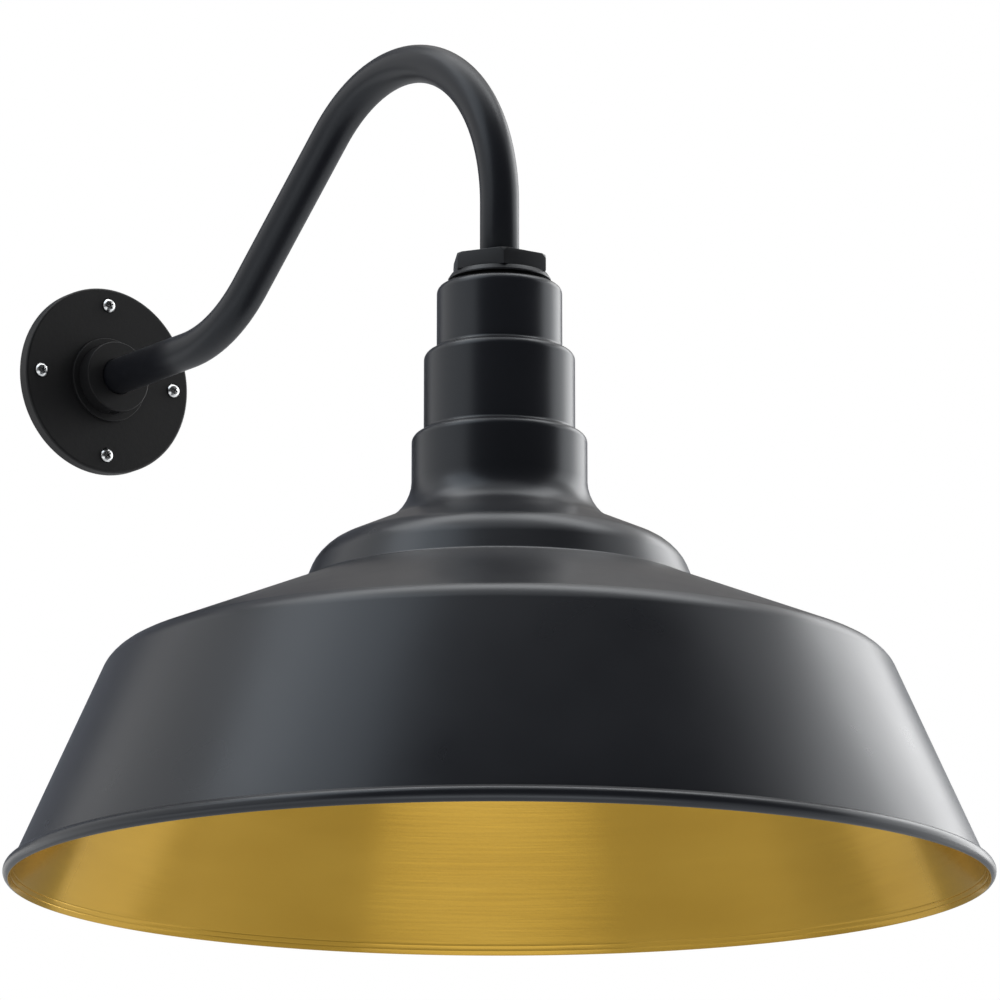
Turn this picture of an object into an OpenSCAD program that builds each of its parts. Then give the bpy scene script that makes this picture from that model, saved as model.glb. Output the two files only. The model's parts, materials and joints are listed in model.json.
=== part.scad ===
// Gooseneck wall light: a spun steel shade hung from a bent pipe on a round cast wall plate.
// Millimetres, +Z up. The wall is the plane y = 0 and the light stands out of it along -Y.
// The origin is the centre of the wall plate's back face.

/* [Reach] */
// Distance from the wall to the shade's axis
projection = 400; // [360:5:520]
// Height of the hub's centre above the top of the shade's neck
neck_drop = 28.3; // [24:0.1:60]

/* [Wall plate] */
// Diameter of the wall plate
plate_d = 109; // [104:1:140]
// Thickness of the wall plate
plate_t = 7.5; // [6.5:0.5:12]
// Radius of the wall plate's front edge
plate_edge_r = 1.5; // [0.5:0.5:3]
// Diameter of the low boss round the collar
boss_d = 49; // [46:1:60]
// Height of the low boss above the plate
boss_h = 2.2; // [1:0.2:5]
// Diameter of the collar that holds the pipe
collar_d = 41; // [34:1:44]
// Height of the collar above the low boss
collar_h = 9.6; // [8:0.2:16]
// Diameter of the circle that the wall screws stand on
screw_circle_d = 88.9; // [84:0.1:92]
// Diameter of the hole for each wall screw
screw_hole_d = 4.8; // [4.6:0.1:5.4]
// Depth of the wiring hollow in the plate's back
hollow_depth = 3; // [2:0.5:4]
// Diameter of the wiring hollow in the plate's back
hollow_d = 70; // [60:1:76]
// Width of the ring gasket in the plate's back
gasket_w = 3.6; // [2:0.2:4]
// Thickness of the ring gasket in the plate's back
gasket_t = 1.5; // [1:0.1:2]

/* [Wall screws] */
// Thread diameter of each wall screw
screw_d = 4.2; // [3.5:0.1:4.4]
// Length of each wall screw under its head
screw_len = 19; // [16:1:60]
// Head diameter of each wall screw
screw_head_d = 8.2; // [7:0.2:9.4]
// Head height of each wall screw
screw_head_h = 2.7; // [2:0.1:3.4]

/* [Arm] */
// Outside diameter of the pipe
pipe_d = 20.6; // [17:0.2:22]
// Wall thickness of the pipe
pipe_wall = 2.3; // [1.6:0.1:2.8]
// Radius of both bends, measured to the pipe's centre line
bend_r = 98; // [80:1:100]
// Slope of the rising stretch, in degrees above level
rise_angle = 40.2; // [34:0.2:46]
// Length of the level stretch, from the wall to the first bend
stub_len = 94.6; // [60:0.2:100]
// Gap all round between the pipe and what turns on it
turn_gap = 0.3; // [0.2:0.05:0.4]

/* [Shade] */
// Diameter over the rolled rim
rim_d = 508; // [470:1:560]
// Diameter of the rolled bead at the rim
bead_d = 8; // [5:0.5:10]
// Thickness of the spun steel
shade_wall = 1.2; // [0.9:0.1:1.8]
// Height of the shade from its rim to the neck's top
shade_h = 316.8; // [300:0.2:340]
// Distance from the rim in to the crease between skirt and bead
crease_in = 5.3; // [4.8:0.1:12]
// Height of that crease above the bead
crease_rise = 0.9; // [0.6:0.1:6]
// Height of the rounded shoulder on top of the skirt
shoulder_h = 115.1; // [95:0.1:125]
// Diameter of the shoulder
shoulder_d = 403.4; // [370:0.2:430]
// Radius of the shoulder
shoulder_r = 17; // [8:1:24]
// Height of the crease where the cone meets the dome ring
ring_h = 155.4; // [148:0.2:160]
// Diameter of the dome ring at that crease
ring_d = 203; // [196:0.2:220]
// Height of the dome ring's upper corner
dome_h = 174.1; // [168:0.1:180]
// Diameter of the dome ring's upper corner
dome_d = 187.7; // [176:0.1:192]
// Radius of the dome ring's upper corner
dome_r = 24; // [14:1:26]
// Height of the corner where the dome meets the lowest neck step
flare_h = 195.3; // [188:0.1:200]
// Radius of the flare at that corner
flare_r = 24.5; // [10:0.5:26]
// Diameters of the three neck steps, lowest first
step_d = [91.6, 79.0, 65.7];
// Top heights of the two lower neck steps, lowest first
step_h = [236.5, 280.9];
// Radius of each step's upper edge
step_edge_r = 4.6; // [2:0.2:4.8]
// Radius at the foot of each step
step_foot_r = 1.6; // [0.4:0.2:1.6]

/* [Neck fittings] */
// Thickness of the rubber ring on the neck's top
neck_gasket_t = 2.5; // [1.5:0.1:4]
// Diameter of the rubber ring on the neck's top
neck_gasket_d = 47; // [38:1:50]
// Thickness of the bevelled washer
washer_t = 3.3; // [2.5:0.1:5]
// Diameter of the bevelled washer's lower edge
washer_d = 54; // [52:0.5:60]
// Width of the washer's bevel
washer_bevel = 2.5; // [1:0.1:4]
// Width of the large hex nut across its flats
nut_af = 46.4; // [40:0.2:48]
// Height of the large hex nut
nut_h = 8.9; // [7:0.1:14]
// Width of the inner locknut across its flats
locknut_af = 32; // [30:0.5:38]
// Height of the inner locknut
locknut_h = 7; // [5:0.5:9]
// Thickness of the spring washer under the inner locknut
lock_washer_t = 1.6; // [1:0.1:2.5]

/* [Lampholder] */
// Diameter of the porcelain body
holder_d = 49; // [46:0.5:54]
// Length of the porcelain body below its cap
holder_len = 48; // [46:0.5:60]
// Inside diameter of the lamp's screw shell
shell_bore_d = 26.6; // [26.4:0.1:27.4]
// Length of the screw shell
shell_len = 21.5; // [19:0.5:24]
// Thickness of the screw shell's sheet
shell_wall = 0.4; // [0.3:0.05:0.6]
// Height of the cap's skirt over the porcelain
cap_h = 15; // [14:0.5:20]
// Thickness of the cap's sheet
cap_wall = 1.2; // [0.8:0.1:2]
// Diameter of the cap's threaded hub
cap_hub_d = 28; // [26:0.5:30]
// Height of the cap's threaded hub
cap_hub_h = 12; // [10:0.5:18]
// Travel of the sprung centre contact
contact_travel = 1.5; // [1:0.1:2.5]
// Diameter of the contact's pin
contact_pin_d = 5.6; // [5:0.1:6]
// Diameter of the contact's flange
contact_flange_d = 9.6; // [9:0.1:10]
// Diameter of the wire in the contact's spring
spring_wire_d = 0.7; // [0.5:0.05:0.9]

/* [Wiring] */
// Outside diameter of each insulated lead
lead_d = 2.8; // [2.2:0.1:3.2]
// Distance between the centres of the two leads
lead_spacing = 4.2; // [3.8:0.1:5]

/* [Hidden] */
$fn = 96;

// Small clearance between pieces of one body, and the overlap of a cut past its face
fit_gap = 0.1;
cut_over = 1;
// A hexagon's corners stand on its flats' circle times this
hex_corner = 1 / cos(30);

// Colours
black_coat = "#26282b";
rubber_black = "#1b1b1c";
gold_lining = "#b79b56";
bright_steel = "#c3c6c9";
plated_zinc = "#a9adb1";
porcelain_white = "#ece8df";
brass_yellow = "#c9a24b";
ground_green = "#2f8a4a";
nylon_white = "#dcdcd6";
lead_black = "#2a2a2a";
lead_white = "#e6e4de";

// Wall plate: heights are distances from the wall
pipe_r = pipe_d / 2;
pipe_bore_r = pipe_r - pipe_wall;
boss_face = plate_t + boss_h;
collar_face = boss_face + collar_h;
boss_edge_r = 0.6;
collar_edge_r = 0.7;
// The pipe's end stands on a ledge in the plate, this far from the wall
pipe_ledge_t = 2;
pipe_seat = hollow_depth + pipe_ledge_t;
// Rim of the plate left outside the gasket
gasket_rim = 2;
gasket_r = (plate_d - gasket_w) / 2 - gasket_rim;
// Each wall screw's head stands in a shallow seat, and its thread starts at the wall
screw_sink = 0.6;
screw_seat = plate_t - screw_sink;
screw_seat_gap = 0.4;
screw_neck_d = screw_d - 0.6;
screw_tip = 0.8;
set_screw_d = 6;
set_screw_sink = 0.8;
set_screw_y = boss_face + collar_h / 2;
ground_screw_x = 24;
ground_screw_len = 3.4;
ground_head_h = screw_head_h - 0.4;

// Arm: stretches of the centre line, in the plane x = 0. The straight stretches reach into
// the bends by seam_len and are thinner there by seam, so that each join is a clean one
seam = 0.03;
seam_len = 1.5;
straight_len =
    (projection - stub_len - bend_r - 2 * bend_r * sin(rise_angle)) / cos(rise_angle);
bend_rise = bend_r * (1 - cos(rise_angle));
crown_z = 2 * bend_rise + straight_len * sin(rise_angle);
drop_start_z = crown_z - bend_r;

// Fittings on the neck
washer_edge_t = 0.8;
nut_chamfer_r = 2.4;
nut_chamfer_slope = 2;
lock_washer_rim = 1;

// Heights of the stack on the neck, in the part's frame
neck_top_z = -neck_drop;
rim_z = neck_top_z - shade_h;
gasket_z = neck_top_z + fit_gap;
washer_z = gasket_z + neck_gasket_t;
nut_z = washer_z + washer_t;
lock_washer_z = neck_top_z - shade_wall - fit_gap - lock_washer_t;
locknut_z = lock_washer_z - locknut_h;
cap_hub_gap = 1;
cap_hub_top_z = locknut_z - cap_hub_gap;
cap_roof_z = cap_hub_top_z - cap_hub_h;
pipe_end_z = cap_roof_z;
neck_hole_r = pipe_r + turn_gap;

// Lampholder: heights in the part's frame
cap_r = holder_d / 2;
cap_edge_r = 2.5;
cap_foot_z = cap_roof_z - cap_h;
cap_set_screw_d = 4;
cap_set_screw_out = 0.4;
// The porcelain's spigot reaches up into the cap by this much
spigot_h = 5;
porcelain_top_z = cap_foot_z + spigot_h;
holder_mouth_z = cap_foot_z - holder_len;
holder_edge_r = 3;
shell_r = shell_bore_d / 2;
shell_sink = 3;
shell_mouth_z = holder_mouth_z + shell_sink;
shell_top_z = shell_mouth_z + shell_len;
cavity_r = shell_r + shell_wall + fit_gap;
cavity_top_z = shell_top_z + fit_gap;
// Window in the shell's end, and the chamber over it that the contact's pin stands in
window_r = 8.4;
pin_showing = 1.7;
chamber_top_z = cavity_top_z + contact_travel + 2;
// The contact's flange stands on a ledge over the chamber, in a well that holds the spring
contact_ledge_t = 3;
contact_ledge_z = chamber_top_z + contact_ledge_t;
contact_flange_t = 1.5;
contact_pin_r = contact_pin_d / 2;
contact_tip_r = 1.6;
contact_play = 0.3;
contact_flange_r = contact_flange_d / 2;
well_r = contact_flange_r + contact_play;
strap_t = 0.8;
strap_w = 6;
strap_end_x = 6;
strap_slot_x = 10;
terminal_x = 15;
terminal_shank_r = 1.75;
terminal_shank_len = 7;
terminal_head_r = 3.6;
terminal_head_h = 2.3;
bare_wire_d = 1.2;
socket_screw_y = 18;
socket_screw_r = 1.5;
socket_screw_head_r = 2.9;
socket_screw_head_h = 2;
socket_screw_grip = 12;
tapped_spare = 1;
wire_hole_r = 7.4;
bushing_bore_r = 5.4;
bushing_flange_w = 2;
bushing_flange_t = 1.4;
bushing_rise = 3;

// Points of a circular arc about c, from angle a0 to angle a1
function arc(c, r, a0, a1, n) =
    [for (i = [0:n]) let (a = a0 + (a1 - a0) * i / n) [c[0] + r * cos(a), c[1] + r * sin(a)]];

function unit(v) = v / norm(v);
// Direction from c to where a line from p touches the circle of radius r, on the side given
function touch_angle(p, c, r, side) = let (v = p - c) atan2(v[1], v[0]) + side * acos(r / norm(v));
function turn(a, b, c) = (b[0] - a[0]) * (c[1] - b[1]) - (b[1] - a[1]) * (c[0] - b[0]);

// Arc that rounds corner b between a and c, held to half of the shorter side
function corner(a, b, c, r) =
    let (u = unit(a - b), w = unit(c - b), half = acos(u * w) / 2,
         reach = 0.49 * min(norm(a - b), norm(c - b)),
         t = min(r / tan(half), reach), rr = t * tan(half),
         m = b + unit(u + w) * rr / sin(half),
         v0 = b + u * t - m, v1 = b + w * t - m, sweep = 180 - 2 * half,
         n = max(2, ceil(sweep / 7)))
    rr < 0.05 ? [b] :
    [for (i = [0:n]) let (s = i / n)
        m + (v0 * sin((1 - s) * sweep) + v1 * sin(s * sweep)) / sin(sweep)];

// A path whose inner corners are rounded, one radius for each point
function rounded(p, r) = let (last = len(p) - 1)
    [for (i = [0:last])
        each (i == 0 || i == last || r[i] == 0 ? [p[i]] : corner(p[i - 1], p[i], p[i + 1], r[i]))];

// The same path set off to its left by d
function left_normal(a, b) = let (u = unit(b - a)) [-u[1], u[0]];
function set_off(p, d) = let (last = len(p) - 1)
    [for (i = [0:last])
        let (n0 = i == 0 ? left_normal(p[0], p[1]) : left_normal(p[i - 1], p[i]),
             n1 = i == last ? n0 : left_normal(p[i], p[i + 1]))
        p[i] + (n0 + n1) * d / (1 + n0 * n1)];
// Radii of that set-off path: less on a left turn, more on a right turn
function set_off_radii(p, r, d) = let (last = len(p) - 1)
    [for (i = [0:last])
        i == 0 || i == last || r[i] == 0 ? 0 :
        max(0.3, turn(p[i - 1], p[i], p[i + 1]) > 0 ? r[i] - d : r[i] + d)];

function backwards(p) = [for (i = [len(p) - 1:-1:0]) p[i]];

// The point of a rising path at height h, and the stretch of it between two heights
function point_at(p, h) =
    let (i = max([for (k = [0:len(p) - 2]) if (p[k][1] <= h) k]),
         s = (h - p[i][1]) / (p[i + 1][1] - p[i][1]))
    p[i] + (p[i + 1] - p[i]) * s;
function stretch(p, lo, hi) =
    concat([point_at(p, lo)], [for (q = p) if (q[1] > lo && q[1] < hi) q], [point_at(p, hi)]);

// Shade: the outer face's corners from the crease above the bead to the hole in the neck's top
shade_corners = [
    [rim_d / 2 - crease_in, bead_d + crease_rise], [shoulder_d / 2, shoulder_h], [ring_d / 2, ring_h],
    [dome_d / 2, dome_h], [step_d[0] / 2, flare_h], [step_d[0] / 2, step_h[0]],
    [step_d[1] / 2, step_h[0]], [step_d[1] / 2, step_h[1]],
    [step_d[2] / 2, step_h[1]], [step_d[2] / 2, shade_h], [neck_hole_r, shade_h]
];
shade_radii = [0, shoulder_r, 0, dome_r, flare_r, step_edge_r,
               step_foot_r, step_edge_r, step_foot_r, step_edge_r, 0];
shade_outer = rounded(shade_corners, shade_radii);
shade_inner = rounded(set_off(shade_corners, shade_wall),
                      set_off_radii(shade_corners, shade_radii, shade_wall));
// The spun shell is drawn in three lengths that meet face to face at these heights
skirt_top_h = ring_h + 4;
dome_top_h = (flare_h + step_h[0]) / 2;

module at_shade() { translate([0, -projection, rim_z]) children(); }
module at_axis(z) { translate([0, -projection, z]) children(); }
// Turns a shape drawn up +Z so that it stands out of the wall along -Y
module out_of_wall() { rotate([90, 0, 0]) children(); }

module ring(outer_r, inner_r, h) {
    difference() {
        cylinder(r = outer_r, h = h);
        translate([0, 0, -cut_over]) cylinder(r = inner_r, h = h + 2 * cut_over);
    }
}

module hexagon(af, h) { cylinder(d = af * hex_corner, h = h, $fn = 6); }

module cross_recess(size, depth) {
    for (a = [0, 90])
        rotate([0, 0, a])
            translate([-size / 2, -size / 8, -depth]) cube([size, size / 4, depth + cut_over]);
}

// Pan head with its underside at z = 0, the head above it
module pan_head(r, h) {
    difference() {
        rotate_extrude()
            polygon(concat([[0, 0], [r, 0], [r, h * 0.35]],
                           arc([r - h * 0.65, h * 0.35], h * 0.65, 0, 90, 6), [[0, h]]));
        translate([0, 0, h]) cross_recess(r * 1.1, h * 0.55);
    }
}

module socket_set_screw(d, len) {
    difference() {
        union() {
            cylinder(d = d, h = len - 1);
            translate([0, 0, len - 1]) cylinder(d1 = d, d2 = d - 2, h = 1);
        }
        translate([0, 0, -cut_over]) cylinder(d = d * 0.55, h = cut_over + len * 0.5, $fn = 6);
    }
}

// A tube of radius r along the arm's centre line, moved sideways by x. start is its distance
// from the wall and finish_z is the height where it ends. Each stretch is drawn in the frame
// where the stretch before it ends, running along -Y
module arm_sweep(r, x, start, finish_z, sides) {
    translate([x, -start, 0]) {
        straight_tube(r, stub_len - start, 0, seam_len, sides);
        translate([0, start - stub_len, 0]) {
            bent_tube(r, rise_angle, 1, sides);
            past_bend(rise_angle, 1) {
                straight_tube(r, straight_len, seam_len, seam_len, sides);
                translate([0, -straight_len, 0]) {
                    bent_tube(r, 90 + rise_angle, -1, sides);
                    past_bend(90 + rise_angle, -1)
                        straight_tube(r, drop_start_z - finish_z, seam_len, 0, sides);
                }
            }
        }
    }
}

// A straight stretch along -Y, reaching into the bends before and after it
module straight_tube(r, len, before, after, sides) {
    translate([0, before, 0]) out_of_wall()
        cylinder(r = r - seam, h = len + before + after, $fn = sides);
}

// A bend that starts along -Y at the origin and turns up (way = 1) or down (way = -1)
module bent_tube(r, sweep, way, sides) {
    translate([0, 0, way * bend_r]) rotate([90, 0, -90])
        rotate_extrude(angle = sweep, start = way > 0 ? -90 : 90 - sweep, $fn = 120)
            translate([bend_r, 0]) circle(r = r, $fn = sides);
}

module past_bend(sweep, way) {
    translate([0, 0, way * bend_r]) rotate([-way * sweep, 0, 0])
        translate([0, 0, -way * bend_r]) children();
}

module wall_gasket() {
    color(rubber_black) out_of_wall()
        ring(gasket_r + gasket_w / 2, gasket_r - gasket_w / 2, gasket_t);
}

module back_plate() {
    color(black_coat)
    difference() {
        out_of_wall() rotate_extrude($fn = 180)
            polygon(concat(
                [[0, 0], [plate_d / 2, 0]],
                corner([plate_d / 2, 0], [plate_d / 2, plate_t], [boss_d / 2, plate_t],
                       plate_edge_r),
                [[boss_d / 2, plate_t]],
                corner([boss_d / 2, plate_t], [boss_d / 2, boss_face], [collar_d / 2, boss_face],
                       boss_edge_r),
                [[collar_d / 2, boss_face]],
                corner([collar_d / 2, boss_face], [collar_d / 2, collar_face], [0, collar_face],
                       collar_edge_r),
                [[0, collar_face]]));
        // Bore for the pipe, down to its ledge
        translate([0, -pipe_seat, 0]) out_of_wall() cylinder(r = pipe_r + turn_gap, h = collar_face);
        // Hole for the leads
        translate([0, cut_over, 0]) out_of_wall()
            cylinder(r = pipe_bore_r, h = pipe_seat + 2 * cut_over);
        // Wiring hollow
        translate([0, cut_over, 0]) out_of_wall() cylinder(d = hollow_d, h = hollow_depth + cut_over);
        // Groove for the gasket
        translate([0, cut_over, 0]) out_of_wall()
            ring(gasket_r + gasket_w / 2 + fit_gap, gasket_r - gasket_w / 2 - fit_gap,
                 gasket_t + cut_over);
        plate_holes();
        // Tapped hole for the set screw, up into the bore from below
        translate([0, -set_screw_y, -collar_d / 2 - cut_over])
            cylinder(d = set_screw_d + 2 * fit_gap, h = collar_d / 2);
        // Tapped hole for the ground screw
        translate([ground_screw_x, 0, 0]) out_of_wall()
            cylinder(d = screw_d + 2 * fit_gap, h = hollow_depth + ground_screw_len + 2 * fit_gap);
    }
}

module on_screw_circle() {
    for (a = [0:90:270])
        rotate([0, a, 0]) translate([screw_circle_d / 2, 0, 0]) children();
}

module plate_holes() {
    on_screw_circle() {
        translate([0, cut_over, 0]) out_of_wall()
            cylinder(d = screw_hole_d, h = plate_t + 2 * cut_over);
        translate([0, -screw_seat, 0]) out_of_wall()
            cylinder(d = screw_head_d + 2 * screw_seat_gap, h = plate_t);
    }
}

module plate_screws() {
    color(bright_steel)
    on_screw_circle()
        translate([0, -screw_seat, 0]) {
            out_of_wall() pan_head(screw_head_d / 2, screw_head_h);
            rotate([-90, 0, 0]) {
                cylinder(d = screw_neck_d, h = screw_seat);
                translate([0, 0, screw_seat])
                    cylinder(d = screw_d, h = screw_len - screw_tip - screw_seat);
                translate([0, 0, screw_len - screw_tip])
                    cylinder(d1 = screw_d, d2 = screw_d - 2 * screw_tip, h = screw_tip);
            }
        }
}

module hub_set_screw() {
    color(plated_zinc)
    translate([0, -set_screw_y, -collar_d / 2 + set_screw_sink])
        socket_set_screw(set_screw_d, collar_d / 2 - set_screw_sink - pipe_r - fit_gap);
}

module ground_screw() {
    color(ground_green)
    translate([ground_screw_x, -hollow_depth, 0]) {
        rotate([-90, 0, 0]) pan_head(screw_head_d / 2, ground_head_h);
        out_of_wall() cylinder(d = screw_d, h = ground_screw_len);
    }
}

module gooseneck_arm() {
    color(black_coat)
    difference() {
        arm_sweep(pipe_r, 0, pipe_seat, pipe_end_z, 64);
        arm_sweep(pipe_bore_r, 0, pipe_seat - cut_over, pipe_end_z - cut_over, 64);
    }
}

module hex_nut() {
    color(black_coat)
    at_axis(nut_z) difference() {
        intersection() {
            hexagon(nut_af, nut_h);
            // Chamfered corners at the top
            cylinder(r1 = nut_af / 2 + nut_chamfer_r + nut_h * nut_chamfer_slope,
                     r2 = nut_af / 2 + nut_chamfer_r, h = nut_h);
        }
        translate([0, 0, -cut_over]) cylinder(r = pipe_r + fit_gap, h = nut_h + 2 * cut_over);
    }
}

module bevelled_washer() {
    color(black_coat)
    at_axis(washer_z) difference() {
        union() {
            cylinder(d = washer_d, h = washer_edge_t);
            translate([0, 0, washer_edge_t])
                cylinder(d1 = washer_d, d2 = washer_d - 2 * washer_bevel, h = washer_t - washer_edge_t);
        }
        translate([0, 0, -cut_over]) cylinder(r = pipe_r + fit_gap, h = washer_t + 2 * cut_over);
    }
}

module neck_gasket() {
    color(rubber_black)
    at_axis(gasket_z) ring(neck_gasket_d / 2, pipe_r + fit_gap, neck_gasket_t);
}

module shade_length(lo, hi) {
    color(black_coat)
    at_shade() rotate_extrude($fn = 240)
        polygon(concat(stretch(shade_outer, lo, hi), backwards(stretch(shade_inner, lo, hi))));
}

module shade_skirt() {
    bead_r = bead_d / 2;
    bead_centre = [rim_d / 2 - bead_r, bead_r];
    from = touch_angle(shade_inner[0], bead_centre, bead_r, 1) - 360;
    to = touch_angle(shade_outer[0], bead_centre, bead_r, -1);
    outer = stretch(shade_outer, shade_outer[0][1], skirt_top_h);
    inner = stretch(shade_inner, shade_inner[0][1], skirt_top_h);
    color(black_coat)
    at_shade() rotate_extrude($fn = 240)
        polygon(concat(arc(bead_centre, bead_r, from, to, 18), outer, backwards(inner)));
}

module shade_dome() { shade_length(skirt_top_h, dome_top_h); }

module shade_neck() {
    outer = [for (q = shade_outer) if (q[1] > dome_top_h) q];
    inner = [for (q = shade_inner) if (q[1] > dome_top_h) q];
    color(black_coat)
    at_shade() rotate_extrude($fn = 240)
        polygon(concat([point_at(shade_outer, dome_top_h)], outer,
                       backwards(inner), [point_at(shade_inner, dome_top_h)]));
}

module lock_washer() {
    color(plated_zinc)
    at_axis(lock_washer_z)
        ring(locknut_af / 2 + lock_washer_rim, pipe_r + fit_gap, lock_washer_t);
}

module inner_locknut() {
    color(plated_zinc)
    at_axis(locknut_z) difference() {
        hexagon(locknut_af, locknut_h);
        translate([0, 0, -cut_over]) cylinder(r = pipe_r + fit_gap, h = locknut_h + 2 * cut_over);
    }
}

module socket_cap() {
    color(plated_zinc)
    at_axis(cap_foot_z) difference() {
        union() {
            rotate_extrude()
                polygon(concat([[0, 0], [cap_r, 0]],
                    corner([cap_r, 0], [cap_r, cap_h], [cap_hub_d / 2, cap_h], cap_edge_r),
                    [[cap_hub_d / 2, cap_h], [cap_hub_d / 2, cap_h + cap_hub_h],
                     [0, cap_h + cap_hub_h]]));
        }
        translate([0, 0, -cut_over])
            cylinder(r = cap_r - cap_wall, h = cap_h - cap_wall + cut_over);
        cylinder(r = wire_hole_r, h = cap_h + cut_over);
        translate([0, 0, cap_h]) cylinder(r = pipe_r + fit_gap, h = cap_hub_h + cut_over);
        for (s = [-1, 1])
            translate([0, s * socket_screw_y, 0])
                cylinder(r = socket_screw_r + fit_gap, h = cap_h + cut_over);
        translate([0, 0, cap_h + cap_hub_h / 2]) rotate([0, 90, 0])
            cylinder(d = cap_set_screw_d + 2 * fit_gap, h = cap_hub_d);
    }
}

module cap_set_screw() {
    color(bright_steel)
    at_axis(cap_roof_z + cap_hub_h / 2)
        translate([cap_hub_d / 2 + cap_set_screw_out, 0, 0]) rotate([0, -90, 0])
            socket_set_screw(cap_set_screw_d, cap_hub_d / 2 + cap_set_screw_out - pipe_r - fit_gap);
}

module wire_bushing() {
    rise = bushing_flange_t + cap_wall + bushing_rise;
    color(nylon_white)
    at_axis(cap_roof_z - cap_wall - bushing_flange_t) difference() {
        union() {
            cylinder(r = wire_hole_r + bushing_flange_w, h = bushing_flange_t - fit_gap);
            cylinder(r = wire_hole_r - fit_gap, h = rise);
        }
        translate([0, 0, -cut_over]) cylinder(r = bushing_bore_r, h = rise + 2 * cut_over);
    }
}

module lampholder_body() {
    spigot_r = cap_r - cap_wall - fit_gap;
    color(porcelain_white)
    at_axis(0) difference() {
        rotate_extrude()
            polygon(concat(
                [[0, porcelain_top_z], [spigot_r, porcelain_top_z], [spigot_r, cap_foot_z],
                 [cap_r, cap_foot_z]],
                corner([cap_r, cap_foot_z], [cap_r, holder_mouth_z], [0, holder_mouth_z],
                       holder_edge_r),
                [[0, holder_mouth_z]]));
        // Mouth and the bore that the screw shell sits in
        translate([0, 0, holder_mouth_z - cut_over])
            cylinder(r = cavity_r, h = cavity_top_z - holder_mouth_z + cut_over);
        // Chamber and hole for the contact's pin, and the well for its flange and spring
        translate([0, 0, cavity_top_z - cut_over])
            cylinder(r = window_r, h = chamber_top_z - cavity_top_z + cut_over);
        translate([0, 0, chamber_top_z - cut_over])
            cylinder(r = contact_pin_r + contact_play, h = contact_ledge_t + 2 * cut_over);
        translate([0, 0, contact_ledge_z])
            cylinder(r = well_r, h = porcelain_top_z - contact_ledge_z + cut_over);
        // Slot for the neutral strap
        translate([strap_slot_x - fit_gap, -strap_w / 2 - fit_gap, cavity_top_z - cut_over])
            cube([strap_t + 2 * fit_gap, strap_w + 2 * fit_gap,
                  porcelain_top_z - cavity_top_z + 2 * cut_over]);
        // Tapped holes for the terminal screws and the socket screws
        for (s = [-1, 1]) {
            translate([s * terminal_x, 0, porcelain_top_z - terminal_shank_len - tapped_spare])
                cylinder(r = terminal_shank_r + fit_gap,
                         h = terminal_shank_len + tapped_spare + cut_over);
            translate([0, s * socket_screw_y, porcelain_top_z - socket_screw_grip])
                cylinder(r = socket_screw_r + fit_gap, h = socket_screw_grip + cut_over);
        }
    }
}

module screw_shell() {
    color(brass_yellow)
    at_axis(0) difference() {
        translate([0, 0, shell_mouth_z]) cylinder(r = shell_r + shell_wall, h = shell_len);
        translate([0, 0, shell_mouth_z - cut_over])
            cylinder(r = shell_r, h = shell_len - shell_wall + cut_over);
        translate([0, 0, shell_mouth_z]) cylinder(r = window_r, h = shell_len + cut_over);
    }
}

module centre_contact() {
    pin_len = contact_ledge_t + contact_travel + pin_showing;
    color(brass_yellow)
    at_axis(contact_ledge_z + fit_gap) rotate_extrude()
        polygon(concat(
            [[0, contact_flange_t], [contact_flange_r, contact_flange_t], [contact_flange_r, 0],
             [contact_pin_r, 0]],
            arc([contact_pin_r - contact_tip_r, -pin_len + contact_tip_r], contact_tip_r, 0, -90, 6),
            [[0, -pin_len]]));
}

// Coil spring between the contact's flange and the line strap
spring_wire_r = spring_wire_d / 2;
spring_end_gap = 0.05;
spring_foot = contact_ledge_z + fit_gap + contact_flange_t + spring_wire_r + spring_end_gap;
spring_top = porcelain_top_z - spring_wire_r - spring_end_gap;
spring_turns = 7;
spring_flat_turn = 0.8;
spring_r = contact_flange_r - spring_wire_r - 2 * fit_gap;
spring_steps = 18;
spring_sides = 6;

// Height along the coil at turn t: flat end turns, an even climb between them
function coil_climb(t) =
    let (rising = min(max((t - spring_flat_turn) / (spring_turns - 2 * spring_flat_turn), 0), 1),
         flat = min(t, spring_flat_turn) + max(t - spring_turns + spring_flat_turn, 0))
    rising * (spring_top - spring_foot - 2 * spring_wire_d) + spring_wire_d * flat / spring_flat_turn;

module contact_spring() {
    last = spring_turns * spring_steps;
    rings = [for (i = [0:last])
        let (a = 360 * i / spring_steps, z = spring_foot + coil_climb(i / spring_steps))
        [for (k = [0:spring_sides - 1])
            let (b = 360 * k / spring_sides, rr = spring_r + spring_wire_r * cos(b))
            [rr * cos(a), rr * sin(a), z + spring_wire_r * sin(b)]]];
    points = [for (r = rings) each r];
    sides = [for (i = [0:last - 1]) for (k = [0:spring_sides - 1])
        let (a = i * spring_sides + k, b = i * spring_sides + (k + 1) % spring_sides,
             c = b + spring_sides, d = a + spring_sides)
        each [[a, c, b], [a, d, c]]];
    ends = concat([for (k = [1:spring_sides - 2]) [0, k, k + 1]],
                  [for (k = [1:spring_sides - 2]) let (o = last * spring_sides) [o, o + k + 1, o + k]]);
    color(bright_steel) at_axis(0) polyhedron(points = points, faces = concat(sides, ends));
}

module strap_hole(x) {
    translate([x, 0, -cut_over]) cylinder(r = terminal_shank_r + fit_gap, h = strap_t + 2 * cut_over);
}

module line_strap() {
    color(brass_yellow)
    at_axis(porcelain_top_z) difference() {
        translate([-terminal_x - strap_w / 2, -strap_w / 2, 0])
            cube([terminal_x + strap_w / 2 + strap_end_x, strap_w, strap_t]);
        strap_hole(-terminal_x);
    }
}

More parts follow.
